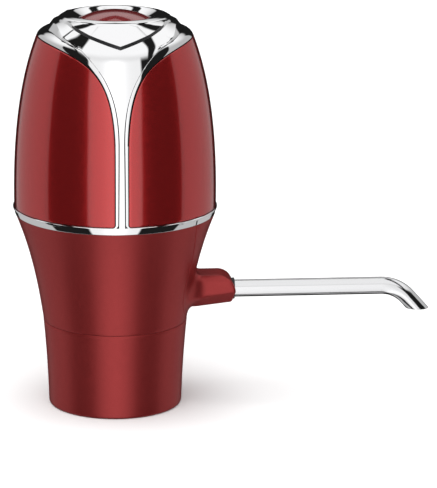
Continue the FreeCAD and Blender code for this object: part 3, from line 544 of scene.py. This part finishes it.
def makeCollar():
    settings, top = lowerSettings, seamLevel
    turn = settings["rimRound"]
    outer = curveLine(collarPoles, 28)
    lower = [(settings["rimRadius"] - turn * (1 - sin(step * pi / 12)),
              rimLevel + turn * (1 - cos(step * pi / 12))) for step in range(6)]
    edge = [(outer[-1][0] - settings["edgeIn"], top - settings["edgeUp"]),
            (outer[-1][0] - settings["seamRound"], top)]
    topInside, footInside = outer[-1][0] - settings["wall"], outer[0][0] - settings["wall"]
    inside = [(settings["wellRadius"], top), (settings["wellRadius"], settings["wellFoot"]),
              (settings["boreRadius"], settings["wellFoot"]), (settings["boreRadius"], 0.0),
              (settings["deckRadius"], 0.0), (settings["deckRadius"], settings["deckRise"]),
              (topInside, settings["deckRise"]), (footInside, rimLevel + 0.5 * mm),
              (footInside + 0.4 * mm, rimLevel)]
    return spinShape(lower + outer + edge + inside, 200)


def makeHousing():
    settings = lowerSettings
    outer = curveLine(flarePoles, 44)
    foot = [(outer[0][0] - settings["seamRound"], seamLevel),
            (outer[0][0] - settings["edgeIn"], seamLevel + settings["edgeUp"])]
    inner = [(radius - settings["wall"], level) for radius, level in reversed(outer)]
    floorTop = seamLevel + settings["floorThick"]
    inner[-1] = (inner[-1][0], floorTop)
    inside = [(settings["floorBore"], floorTop), (settings["floorBore"], seamLevel)]
    return spinShape(foot + outer + inner + inside, 220)


finishPiece(makeCollar(), "bottleCollar", "satin_red", "housing", ["bottle_collar"])
finishPiece(makeHousing(), "lowerHousing", "satin_red", "housing", ["lower_housing"])
print("collar and housing made")


# spout bridge with its boss

bridgeSettings = {"half": 6.0 * mm, "above": 5.3 * mm, "below": 3.7 * mm, "slope": 0.118,
                  "proud": 0.10 * mm, "hole": 2.75 * mm, "sideFlare": 4.6 * mm, "endFlare": 1.1 * mm,
                  "stations": 144, "noseRound": 5.3 * mm, "noseEdge": 0.8 * mm, "topRound": 1.5 * mm,
                  "lowRound": 4.0 * mm, "power": 26, "slopeStart": 0.9 * mm, "rootAt": 24 * mm,
                  "sideAt": 33 * mm, "inset": 2.0 * mm, "stripFoot": 6.3 * mm, "stripWaist": 6.4 * mm, "bore": 6 * mm,
                  "flareSteps": 8, "noseSteps": 14}


def bridgeEdge():
    # the outline seen along the spout, as points across and up from the spout's axis
    half, foot, top = bridgeSettings["half"], spoutLevel - bridgeSettings["stripFoot"], bandFoot
    waist = spoutLevel + bridgeSettings["stripWaist"]
    low = [(half + 0.3 * mm, foot), (half + 5.0 * mm, foot + 1.0 * mm), (half + 6.6 * mm, foot + 5.6 * mm),
           (half + 6.8 * mm, waist)]
    high = [low[-1], (half + 7.0 * mm, waist + 8.0 * mm), (half + 9.6 * mm, waist + 12.0 * mm),
            (half + 13.4 * mm, top)]
    side = curveLine(low, 40) + curveLine(high, 40)[1:]
    line = [(across, level - spoutLevel) for across, level in side]
    upper = [(mix(line[-1][0], -line[-1][0], i / 40), line[-1][1]) for i in range(1, 40)]
    back = [(-across, level) for across, level in reversed(line)]
    lower = [(mix(-line[0][0], line[0][0], i / 20), line[0][1]) for i in range(1, 20)]
    return line + upper + back + lower, [line[0], line[-1], back[0], back[-1]]


def reach(outline, angle):
    # how far the outline is from the axis in a direction
    direction = Vector((cos(angle), sin(angle)))
    best = 0.0
    for i in range(len(outline)):
        start, stop = Vector(outline[i]), Vector(outline[(i + 1) % len(outline)])
        span = stop - start
        cross = direction.x * span.y - direction.y * span.x
        if abs(cross) < 1e-12:
            continue
        far = (start.x * span.y - start.y * span.x) / cross
        share = (start.x * direction.y - start.y * direction.x) / cross
        if far > 0 and -1e-6 <= share <= 1 + 1e-6:
            best = max(best, far)
    return best


def bossReach(angle, along):
    # the boss's rounded section at a distance along the spout
    settings = bridgeSettings
    half, above, power = settings["half"], settings["above"], settings["power"]
    below = settings["below"] + settings["slope"] * (bossEnd - settings["slopeStart"] - along)
    upper = (half + above - settings["topRound"]) * 0.707
    lower = (half + below - settings["lowRound"]) * 0.73
    planes = [((1, 0), half), ((-1, 0), half), ((0, 1), above), ((0, -1), below), ((0.707, 0.707), upper),
              ((-0.707, 0.707), upper), ((0.73, -0.684), lower), ((-0.73, -0.684), lower)]
    total = 0.0
    for normal, gap in planes:
        facing = normal[0] * cos(angle) + normal[1] * sin(angle)
        if facing > 0.01:
            total += (gap / facing) ** -power
    return total ** (-1 / power)


def noseAt(height):
    # how far the boss's nose reaches at a height over the spout's axis
    turn = bridgeSettings["noseRound"]
    if height > 0:
        return bossEnd - turn + sqrt(max(turn ** 2 - min(height, turn) ** 2, 0))
    return bossEnd + 0.2 * height


def makeBridge():
    settings = bridgeSettings
    outline, corners = bridgeEdge()
    count, inset, hole = settings["stations"], settings["inset"], settings["hole"]
    angles = [2 * pi * i / count for i in range(count)]
    for across, height in corners:
        corner = atan2(height, across) % (2 * pi)
        nearest = min(range(count), key=lambda i: abs(angles[i] - corner))
        angles[nearest] = corner

    def shellPoint(angle, far, lift=0.0):
        across, height = far * cos(angle), far * sin(angle)
        radius = flareAt(spoutLevel + height) + settings["proud"]
        return Vector((sqrt(max(radius ** 2 - across ** 2, 0)) + lift, across, spoutLevel + height))

    def sectionPoint(angle, far, along):
        return Vector((along, far * cos(angle), spoutLevel + far * sin(angle)))

    edges = [reach(outline, angle) for angle in angles]
    roots, flares = [], []
    for angle, edge in zip(angles, edges):
        flare = mix(settings["endFlare"], settings["sideFlare"], cos(angle) ** 2)
        section = bossReach(angle, settings["rootAt"])
        flare = min(flare, edge - section - 0.35 * mm)
        roots.append(section)
        flares.append(max(flare, 0.1 * mm))
    # the strip: its hidden edge, its rounded rim and its face
    rings = [[shellPoint(a, e - trim, lift) for a, e in zip(angles, edges)]
             for trim, lift in ((0.0, -inset), (0.0, -0.12 * mm), (0.06 * mm, -0.03 * mm))]
    steps = settings["flareSteps"]
    for step in range(steps + 1):
        rings.append([shellPoint(a, mix(e - 0.14 * mm, s + f, step / steps)) for a, e, s, f
                      in zip(angles, edges, roots, flares)])
    # the fillet at the boss's root
    for step in range(1, steps + 1):
        bend = pi / 2 * step / steps
        rings.append([shellPoint(a, s + f * (1 - sin(bend)), f * (1 - cos(bend))) for a, s, f
                      in zip(angles, roots, flares)])
    # the boss's side, up to its nose
    starts = [point.x for point in rings[-1]]
    for step in range(1, steps + 1):
        ring = []
        for angle, start in zip(angles, starts):
            height = bossReach(angle, settings["sideAt"]) * sin(angle)
            stop = noseAt(height) - settings["noseEdge"] * (1 - max(sin(angle), 0) ** 2)
            along = mix(start, stop, step / steps)
            ring.append(sectionPoint(angle, bossReach(angle, along), along))
        rings.append(ring)
    # the rounded nose, in to the spout's hole
    sections = [sqrt(point.y ** 2 + (point.z - spoutLevel) ** 2) for point in rings[-1]]
    steps = settings["noseSteps"]
    for step in range(1, steps + 1):
        ring = []
        for angle, section in zip(angles, sections):
            far = mix(section, hole, 1 - cos(pi / 2 * step / steps))
            share = min((section - far) / settings["noseEdge"], 1.0)
            drop = settings["noseEdge"] * (1 - sqrt(1 - (1 - share) ** 2)) * (1 - max(sin(angle), 0) ** 2)
            ring.append(sectionPoint(angle, far, noseAt(far * sin(angle)) - drop))
        rings.append(ring)
    # the inside, back to the strip's hidden edge
    bottom = bossEnd - settings["bore"]
    rings.append([sectionPoint(a, hole, bottom) for a in angles])
    rings.append([sectionPoint(a, bossReach(a, bottom) * 0.9 - 0.6 * mm, bottom) for a in angles])
    rings.append([shellPoint(a, s - 0.5 * mm, -inset) for a, s in zip(angles, roots)])
    return ringSweep(rings, closedPath=True)[0]


finishPiece(makeBridge(), "spoutBridge", "bridge_red", "housing", ["spout_bridge"], 50)
print("spout bridge made")


# spout tube

spoutSettings = {"radius": 2.6 * mm, "wall": 0.4 * mm, "bendStart": 80.4 * mm, "bendRadius": 10.9 * mm,
                 "turn": 48.0, "cut": 7.2 * mm, "start": 14.5 * mm, "sides": 64, "bendSteps": 32,
                 "lipRound": 0.08 * mm, "lipDepth": 0.12 * mm}


def makeSpout():
    settings = spoutSettings
    turn, steps, bend = radians(settings["turn"]), settings["bendSteps"], settings["bendRadius"]
    frames = [(Vector((along, 0, spoutLevel)), 0.0) for along in (settings["start"], 30 * mm, 55 * mm)]
    for step in range(steps + 1):
        angle = turn * step / steps
        frames.append((Vector((settings["bendStart"] + bend * sin(angle), 0,
                               spoutLevel - bend * (1 - cos(angle)))), angle))

    def ringAt(centre, angle, radius):
        across = Vector((0, 1, 0))
        up = Vector((sin(angle), 0, cos(angle)))
        sides = settings["sides"]
        return [centre + across * radius * cos(2 * pi * i / sides) + up * radius * sin(2 * pi * i / sides)
                for i in range(sides)]

    def cutRing(radius, gap=0.0):
        # the last ring pushed along the tube until it meets the level cut
        centre, angle = frames[-1]
        way = Vector((cos(angle), 0, -sin(angle)))
        level = spoutLevel - settings["cut"] + gap
        return [point + way * ((point.z - level) / sin(angle)) for point in ringAt(centre, angle, radius)]

    outer, inner = settings["radius"], settings["radius"] - settings["wall"]
    lip, depth = settings["lipRound"], settings["lipDepth"]
    rings = [ringAt(centre, angle, outer) for centre, angle in frames]
    rings += [cutRing(outer, depth), cutRing(outer - lip), cutRing(inner + lip), cutRing(inner, depth)]
    rings += [ringAt(centre, angle, inner) for centre, angle in reversed(frames)]
    return ringSweep(rings, closedPath=True)[0]


finishPiece(makeSpout(), "spoutTube", "steel", "housing", ["spout_tube"])
print("spout made")


# panel and crease curves in the front view

panelSettings = {"ribHalf": 1.85 * mm, "gap": 0.22 * mm, "thick": 1.35 * mm, "parting": 0.30 * mm,
                 "columns": 110, "rows": 72, "cornerTurn": 20.0, "cornerRound": 0.8 * mm,
                 "edgeRound": 0.16 * mm}
creaseSettings = {"rise": 28.3 * mm, "startHalf": 0.64 * mm, "footHalf": 0.83 * mm}
edgeStraight = bandTop + 0.4 * upperRise
edgePoles = [(panelSettings["ribHalf"], edgeStraight),
             (panelSettings["ribHalf"], bandTop + 0.8 * upperRise),
             (panelSettings["ribHalf"] + 4.65 * mm, bandTop + 0.94 * upperRise),
             (lipRadius + 0.4 * mm, lipLevel)]
creaseStart = lipLevel - creaseSettings["rise"]
creasePoles = [(creaseSettings["startHalf"], creaseStart), (0.50 * mm, lipLevel - 13.8 * mm),
               (4.2 * mm, lipLevel - 7.3 * mm), (11.3 * mm, lipLevel - 0.7 * mm)]
creaseLine = curveLine(creasePoles, fineSteps)
edgeLine = curveLine(edgePoles, fineSteps)


def edgeAcross(level):
    return panelSettings["ribHalf"] if level <= edgeStraight else acrossAt(edgeLine, level)


@lru_cache(maxsize=None)
def edgeLevel(turn):
    return solve(lambda level: bodyAt(level) * sin(turn) - edgeAcross(level), bandTop, lipLevel)


def creaseAcross(level):
    if level <= creaseStart:
        share = (creaseStart - level) / (creaseStart - bandTop)
        return mix(creaseSettings["startHalf"], creaseSettings["footHalf"], share)
    return acrossAt(creaseLine, level)


def sharpEdges(bm):
    return [edge for edge in bm.edges if len(edge.link_faces) == 2 and edge.calc_face_angle() > radians(50)]


def roundEdges(bm, edges, offset, segments):
    bmesh.ops.bevel(bm, geom=edges, offset=offset, offset_type="OFFSET", segments=segments, profile=0.5,
                    affect="EDGES", material=-1, clamp_overlap=True)


def makePanel(side):
    settings = panelSettings
    gap, foot = settings["gap"], bandTop + settings["gap"]
    corner = radians(settings["cornerTurn"])
    cornerLevel = edgeLevel(corner)

    def sideTurn(level):
        return asin(min((edgeAcross(level) + gap) / bodyAt(level), 1))

    lowTurn, highTurn = sideTurn(foot), sideTurn(cornerLevel - gap)
    columns, rows = settings["columns"], settings["rows"]
    bm = bmesh.new()
    bmesh.ops.create_grid(bm, x_segments=columns, y_segments=rows, size=0.5)
    for vert in bm.verts:
        u, v = vert.co.x + 0.5, vert.co.y + 0.5
        sideLevel = mix(foot, cornerLevel - gap, v)
        left = sideTurn(sideLevel)
        topTurn = mix(highTurn, pi - highTurn, u)
        topLevel = edgeLevel(min(topTurn, pi - topTurn)) - gap
        bottomTurn = mix(lowTurn, pi - lowTurn, u)
        turn = mix(bottomTurn, topTurn, v) + mix(left, pi - left, u)
        turn -= mix(mix(lowTurn, pi - lowTurn, u), mix(highTurn, pi - highTurn, u), v)
        level = mix(foot, topLevel, v) + sideLevel - mix(foot, cornerLevel - gap, v)
        vert.co = onBody(turn, bodyAt(level), level)
    bmesh.ops.recalc_face_normals(bm, faces=bm.faces)
    if sum(face.normal.x * face.calc_area() for face in bm.faces) < 0:
        bmesh.ops.reverse_faces(bm, faces=bm.faces)
    skin = list(bm.faces)
    bmesh.ops.solidify(bm, geom=skin, thickness=settings["thick"])
    bm.normal_update()
    corners = [edge for edge in sharpEdges(bm) if edge.calc_length() > settings["thick"] * 0.9
               and abs((edge.verts[0].co - edge.verts[1].co).normalized().z) < 0.5
               and all(abs(vert.co.z - foot) < 0.3 * mm for vert in edge.verts)]
    roundEdges(bm, corners, settings["cornerRound"], 4)
    bm.normal_update()
    roundEdges(bm, sharpEdges(bm), settings["edgeRound"], 2)
    if side < 0:
        bmesh.ops.scale(bm, verts=bm.verts, vec=(-1, 1, 1))
    return bm


finishPiece(makePanel(1), "panelRight", "gloss_red", "cover", ["panel_right"], 60)
finishPiece(makePanel(-1), "panelLeft", "gloss_red", "cover", ["panel_left"], 60)
print("panels made")


# chrome frame: band, window surrounds, ribs and stepped crown

crownSettings = {"ribTop": lipLevel - 7.3 * mm, "ribColumns": 12, "ribRows": 64, "sideColumns": 96,
                 "wall": 0.5 * mm, "lip": 0.9 * mm, "proudLow": 0.10 * mm, "proudHigh": 0.62 * mm,
                 "coneSlope": 1.3, "shieldBlend": 1.3 * mm, "ledgeTurn": 29.0, "sideTurn": 74.0,
                 "creaseRadius": 18.4 * mm, "creaseLevel": lipLevel + 3.9 * mm,
                 "footRadius": 19.9 * mm, "footLevel": lipLevel + 1.8 * mm}
veeSettings = {"tip": lipLevel - 0.55 * mm, "slope": 0.302, "outerSlope": 0.397, "slopeChange": 8.6 * mm,
               "widest": 15.5 * mm, "footRadius": 17.1 * mm, "footLevel": lipLevel + 4.5 * mm,
               "topRadius": 16.5 * mm, "topLevel": lipLevel + 5.1 * mm, "out": 0.15 * mm, "step": 1.05 * mm}
# the crown's ring, from its crest over to the button's bore: radius and drop below the top, in mm
ringProfile = ((15.8, 0.58), (15.65, 0.47), (15.45, 0.40), (14.9, 0.27), (14.3, 0.13), (13.8, 0.03),
               (13.5, 0.0), (13.2, 0.04), (12.9, 0.15), (12.5, 0.34), (12.0, 0.60), (11.5, 0.87),
               (11.0, 1.12), (10.75, 1.26), (10.55, 1.42), (10.45, 1.7), (10.45, 2.4), (10.45, 2.5))
crest = (15.8 * mm, crownTop - 0.55 * mm)


def proudAt(level):
    # how far the shield stands out of the body
    share = ease(level, lipLevel - 26 * mm, lipLevel - 2 * mm)
    return mix(crownSettings["proudLow"], crownSettings["proudHigh"], share)


def coneAt(level):
    drop = crownSettings["creaseLevel"] - level
    return crownSettings["creaseRadius"] + drop * crownSettings["coneSlope"]


def shieldAt(level):
    # the body's curve and the crown's cone, blended where they meet
    body, cone = bodyAt(level) + proudAt(level), coneAt(level)
    blend = crownSettings["shieldBlend"]
    return (body + cone - sqrt((body - cone) ** 2 + blend ** 2)) / 2


def foldTurn(turn):
    # the same turn measured from the nearer rib, between 0 and a right angle
    turn = abs((turn + pi) % (2 * pi) - pi)
    return min(turn, pi - turn)


@lru_cache(maxsize=None)
def creaseTop(turn):
    turn = foldTurn(turn)
    start = radians(crownSettings["ledgeTurn"])
    if turn <= start:
        ribTop = crownSettings["ribTop"]
        ribTurn = asin(creaseAcross(ribTop) / shieldAt(ribTop))
        if turn <= ribTurn:
            return shieldAt(ribTop), ribTop
        level = solve(lambda z: shieldAt(z) * sin(turn) - creaseAcross(z), ribTop, lipLevel - 0.7 * mm)
        return shieldAt(level), level
    radius, level = creaseTop(start)
    share = (turn - start) / (radians(crownSettings["sideTurn"]) - start)
    bend = ease(share, 0, 1)
    rise = min(share, 1.0)
    climb = mix(rise * (2 - rise), bend, 0.5)
    return mix(radius, crownSettings["creaseRadius"], bend), mix(level, crownSettings["creaseLevel"], climb)


@lru_cache(maxsize=None)
def creaseFoot(turn):
    turn = foldTurn(turn)
    start = radians(crownSettings["ledgeTurn"])
    radius, level = creaseTop(min(turn, start))
    radius = bodyAt(level) - 0.05 * mm
    if turn <= start:
        return radius, level
    share = min((turn - start) / (radians(crownSettings["sideTurn"]) - start), 1.0)
    return (mix(radius, crownSettings["footRadius"], ease(share, 0, 1)),
            mix(level, crownSettings["footLevel"], share * (2 - share)))


@lru_cache(maxsize=None)
def veeFoot(turn):
    settings = veeSettings
    turn, change = foldTurn(turn), settings["slopeChange"]

    def levelAt(across):
        if across < change:
            return settings["tip"] + settings["slope"] * across
        return settings["tip"] + settings["slope"] * change + settings["outerSlope"] * (across - change)

    across = solve(lambda x: shieldAt(levelAt(x)) * sin(turn) - x, 0.0, settings["widest"])
    level = min(levelAt(across), settings["footLevel"])
    side = ease(degrees(turn), 46, 66)
    return mix(shieldAt(level), settings["footRadius"], side), mix(level, settings["footLevel"], side)


@lru_cache(maxsize=None)
def veeTop(turn):
    settings = veeSettings
    radius, level = veeFoot(turn)
    side = ease(degrees(foldTurn(turn)), 40, 66)
    return (mix(radius + settings["out"], settings["topRadius"], side),
            mix(level + settings["step"], settings["topLevel"], side))


def crownRings():
    # each ring is a function from turn to radius and level, from the crease up to the button's bore
    def between(first, second, share, onShield=False):
        def ring(turn):
            (startRadius, startLevel), (stopRadius, stopLevel) = first(turn), second(turn)
            level = mix(startLevel, stopLevel, share)
            radius = mix(startRadius, stopRadius, share)
            if onShield:
                side = ease(degrees(foldTurn(turn)), 25, 50)
                radius = mix(shieldAt(level), radius, side)
            return radius, level
        return ring

    def flatRing(radius, level):
        return lambda turn: (radius, level)

    rings = [creaseTop]
    rings += [between(creaseTop, veeFoot, share, True)
              for share in (0.02, 0.1, 0.22, 0.36, 0.5, 0.64, 0.78, 0.9, 0.97)]
    rings += [veeFoot, between(veeFoot, veeTop, 0.12), between(veeFoot, veeTop, 0.88), veeTop]
    rings += [between(veeTop, flatRing(*crest), share) for share in (0.04, 0.2, 0.4, 0.6, 0.8, 0.96)]
    return rings + [flatRing(radius * mm, crownTop - drop * mm) for radius, drop in ringProfile]


def crownTurns():
    # columns of the crown: even steps over each rib and over each side
    ribTop, count = crownSettings["ribTop"], crownSettings["ribColumns"]
    radius, half = shieldAt(ribTop), creaseAcross(ribTop)
    rib = [asin(half * (2 * i / count - 1) / radius) for i in range(count + 1)]
    sides = crownSettings["sideColumns"]
    side = [mix(rib[-1], pi - rib[-1], i / sides) for i in range(1, sides)]
    front = rib + side
    return front + [turn + pi for turn in front]


def makeCrown():
    turns = crownTurns()
    rings = [[onBody(turn, *ring(round(turn, 9))) for turn in turns] for ring in crownRings()]
    bm = ringSweep(rings)[0]
    # the two ribs hang from the crown's front and rear columns
    ribTop, count, rows = crownSettings["ribTop"], crownSettings["ribColumns"], crownSettings["ribRows"]
    ribFoot = bandFoot + 0.4 * mm
    for flip in (0, pi):
        levels = [mix(ribTop, ribFoot, row / rows) for row in range(rows + 1)]
        lines = []
        for level in levels:
            radius, half = shieldAt(level), creaseAcross(level)
            lines.append([onBody(asin(half * (2 * i / count - 1) / radius) + flip, radius, level)
                          for i in range(count + 1)])
        bm = joined(bm, ringSweep(lines, closedRing=False)[0])
    bmesh.ops.remove_doubles(bm, verts=bm.verts, dist=0.01 * mm)
    bmesh.ops.recalc_face_normals(bm, faces=bm.faces)
    # every open edge but the bore's is carried back into the body
    boreLevel = crownTop - 2.45 * mm
    border = [edge for edge in bm.edges if edge.is_boundary
              and not all(vert.co.xy.length < 11 * mm and vert.co.z < boreLevel for vert in edge.verts)]
    for depth in (0.0, crownSettings["lip"]):
        grown = bmesh.ops.extrude_edge_only(bm, edges=border)["geom"]
        fresh = [item for item in grown if isinstance(item, bmesh.types.BMVert)]
        border = [item for item in grown if isinstance(item, bmesh.types.BMEdge)]
        for vert in fresh:
            turn = atan2(vert.co.x, -vert.co.y)
            level = vert.co.z
            if level >= ribTop - 0.05 * mm and depth == 0.0:
                radius, level = creaseFoot(turn)
            elif depth == 0.0:
                radius = bodyAt(level) - 0.12 * mm
            else:
                radius = vert.co.xy.length - depth
            vert.co = onBody(turn, radius, level)
    bmesh.ops.solidify(bm, geom=list(bm.faces), thickness=crownSettings["wall"])
    return bm


surroundSettings = {"corner": 0.8 * mm, "drop": 1.2 * mm, "meetTurn": 15, "lipBulge": 0.42 * mm,
                    "leastBulge": 0.02 * mm,
                    # across from the window's edge as a share, and depth below the skin in mm
                    "section": ((0.0, 1.4), (0.0, 0.16), (0.03, 0.04), (0.09, 0.0), (0.3, 0.0), (0.5, 0.0),
                                (0.7, 0.0))}


def turnAt(across, level):
    return asin(min(across / bodyAt(level), 1))


def surroundStations():
    # pairs of window edge and crease, each as turn, radius and level, round the front half of a window
    stations = []
    foot, corner, drop = bandTop, surroundSettings["corner"], surroundSettings["drop"]
    ribHalf = panelSettings["ribHalf"]
    cornerTurn = turnAt(ribHalf + corner, foot)
    for step in range(24):
        turn = mix(pi / 2, cornerTurn, step / 24)
        stations.append(((turn, bodyAt(foot), foot), (turn, bodyAt(foot), foot - drop)))
    for step in range(7):
        bend = pi / 2 * step / 6
        across, level = ribHalf + corner * (1 - sin(bend)), foot + corner * (1 - cos(bend))
        inner = mix(ribHalf + corner, creaseAcross(level), ease(step, 0, 6))
        low = mix(foot - drop, level, ease(step, 0, 6))
        stations.append(((turnAt(across, level), bodyAt(level), level),
                         (turnAt(inner, low), bodyAt(low), low)))
    for step in range(1, 20):
        level = mix(foot + corner, edgeStraight, step / 20)
        stations.append(((turnAt(ribHalf, level), bodyAt(level), level),
                         (turnAt(creaseAcross(level), level), bodyAt(level), level)))
    meet = radians(surroundSettings["meetTurn"])
    edgeTop, creaseMeet = edgeLevel(meet), creaseTop(meet)[1]
    for step in range(44):
        outer, inner = mix(edgeStraight, edgeTop, step / 44), mix(edgeStraight, creaseMeet, step / 44)
        stations.append(((turnAt(edgeAcross(outer), outer), bodyAt(outer), outer),
                         (turnAt(creaseAcross(inner), inner), bodyAt(inner), inner)))
    for step in range(61):
        turn = mix(meet, pi / 2, step / 60)
        level = edgeLevel(turn)
        stations.append(((turn, bodyAt(level), level), (turn, *creaseFoot(turn))))
    return stations


def makeSurround(side):
    settings = surroundSettings
    half = surroundStations()
    flipped = [tuple((pi - turn, radius, level) for turn, radius, level in pair)
               for pair in reversed(half[1:-1])]
    rings = []
    for edge, crease in half + flipped:
        lipShare = ease(degrees(min(edge[0], pi - edge[0])), 22, 60)
        lipBulge = settings["lipBulge"] * lipShare + settings["leastBulge"]
        points = []
        width = (onBody(*edge) - onBody(*crease)).length
        last = 1 - panelSettings["parting"] / width
        crossing = ((last - 0.08, 0.0), (last - 0.03, 0.01), (last, 0.06), (last, 1.4))
        for share, depth in settings["section"] + crossing:
            turn, radius, level = (mix(edge[axis], crease[axis], share) for axis in range(3))
            bulge = lipBulge * sin(pi * min(share, 1.0)) ** 0.8 if 0 < share < 1 else 0.0
            point = onBody(turn, radius - depth * mm + bulge * 0.8, level + bulge * 0.8)
            points.append(Vector((point.x * side, point.y, point.z)))
        rings.append(points)
    return ringSweep(rings, closedPath=True)[0]


bandSettings = {"thick": 1.6 * mm, "footIn": 0.35 * mm, "rimIn": 0.30 * mm, "proud": 0.15 * mm,
                "topIn": 0.25 * mm}


def makeBand():
    # each point is radius, level and how far its corner is rounded
    wide, settings = bodyRadius, bandSettings
    points = [(wide - settings["footIn"] - settings["thick"], bandFoot, 0.1 * mm),
              (wide - settings["rimIn"], bandFoot, 0.18 * mm),
              (wide + settings["proud"], bandTop - 0.15 * mm, 0.2 * mm),
              (wide - settings["topIn"], bandTop + 0.02 * mm, 0.05 * mm),
              (wide - 1.9 * mm, bandTop, 0.1 * mm)]
    return spinShape(softened(points), 260)


# the black bar on the vee's step is a painted reflection of the dark surroundings, laid on the chrome
veePaintedReflectionSettings = {"turn": 47.0, "steps": 80, "taper": 6, "proud": 0.07 * mm, "deep": 0.35 * mm}


def makeVeePaintedReflection():
    # painted reflection: a thin black bar lying on the step along both arms of the vee, standing in for the dark
    # surroundings that the chrome step reflects
    rings = []
    settings, steps = veePaintedReflectionSettings, veePaintedReflectionSettings["steps"]
    arm, proud, deep = radians(settings["turn"]), settings["proud"], settings["deep"]
    for step in range(steps + 1):
        turn = mix(-arm, arm, step / steps)
        (footRadius, footLevel), (topRadius, topLevel) = veeFoot(turn), veeTop(turn)
        share = 1.9 * mix(0.12, 0.5, min(step, steps - step, settings["taper"]) / settings["taper"])
        midRadius, midLevel = (footRadius + topRadius) / 2, (footLevel + topLevel) / 2
        low = (mix(midRadius, footRadius, share), mix(midLevel, footLevel, share))
        high = (mix(midRadius, topRadius, share), mix(midLevel, topLevel, share))
        corners = ((low[0] - deep, low[1]), (low[0] + proud, low[1]),
                   (high[0] + proud, high[1] + proud), (high[0] - deep, high[1]))
        rings.append([onBody(turn, *corner) for corner in corners])
    bm, first, last = ringSweep(rings)
    for loop in (first, last):
        bmesh.ops.contextual_create(bm, geom=loop)
    return bm


frameMesh = makeCrown()
for extra in (makeSurround(1), makeSurround(-1), makeBand()):
    bmesh.ops.recalc_face_normals(extra, faces=extra.faces)
    frameMesh = joined(frameMesh, extra)
finishPiece(frameMesh, "chromeFrame", "chrome", "cover", ["chrome_frame"], 28)
# the vee's painted dark reflection, given the black plastic finish
finishPiece(makeVeePaintedReflection(), "veePaintedReflection", "black_plastic", "cover")
print("chrome frame made")


# push button

buttonSettings = {"radius": 10.1 * mm, "rise": 2.2 * mm, "edgeRound": 0.12 * mm, "skirt": 2.5 * mm,
                  "flange": 1.5 * mm, "flangeThick": 1.2 * mm, "wall": 1.4 * mm, "stem": 2.2 * mm,
                  "domeSteps": 18}


def makeButton():
    settings = buttonSettings
    radius, rise, rounding = settings["radius"], settings["rise"], settings["edgeRound"]
    wall, stem = settings["wall"], settings["stem"]
    edge = buttonTop - rise
    ball = (radius ** 2 + rise ** 2) / (2 * rise)
    dome = []
    for step in range(settings["domeSteps"]):
        angle = asin(radius / ball) * step / settings["domeSteps"]
        dome.append((ball * sin(angle), buttonTop - ball * (1 - cos(angle))))
    dome += [(radius - rounding, edge + rounding), (radius, edge - rounding)]
    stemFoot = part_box("push_button")[0].z
    flange = edge - settings["skirt"]
    flangeTop, flangeRadius = flange + settings["flangeThick"], radius + settings["flange"]
    lower = [(radius, flangeTop), (flangeRadius, flangeTop), (flangeRadius, flange), (radius - wall, flange),
             (radius - wall, edge - wall), (stem, edge - wall), (stem, stemFoot), (0.0, stemFoot)]
    return spinShape(dome + lower, 128)


finishPiece(makeButton(), "pushButton", "button_red", "button", ["push_button"])
print("button made")
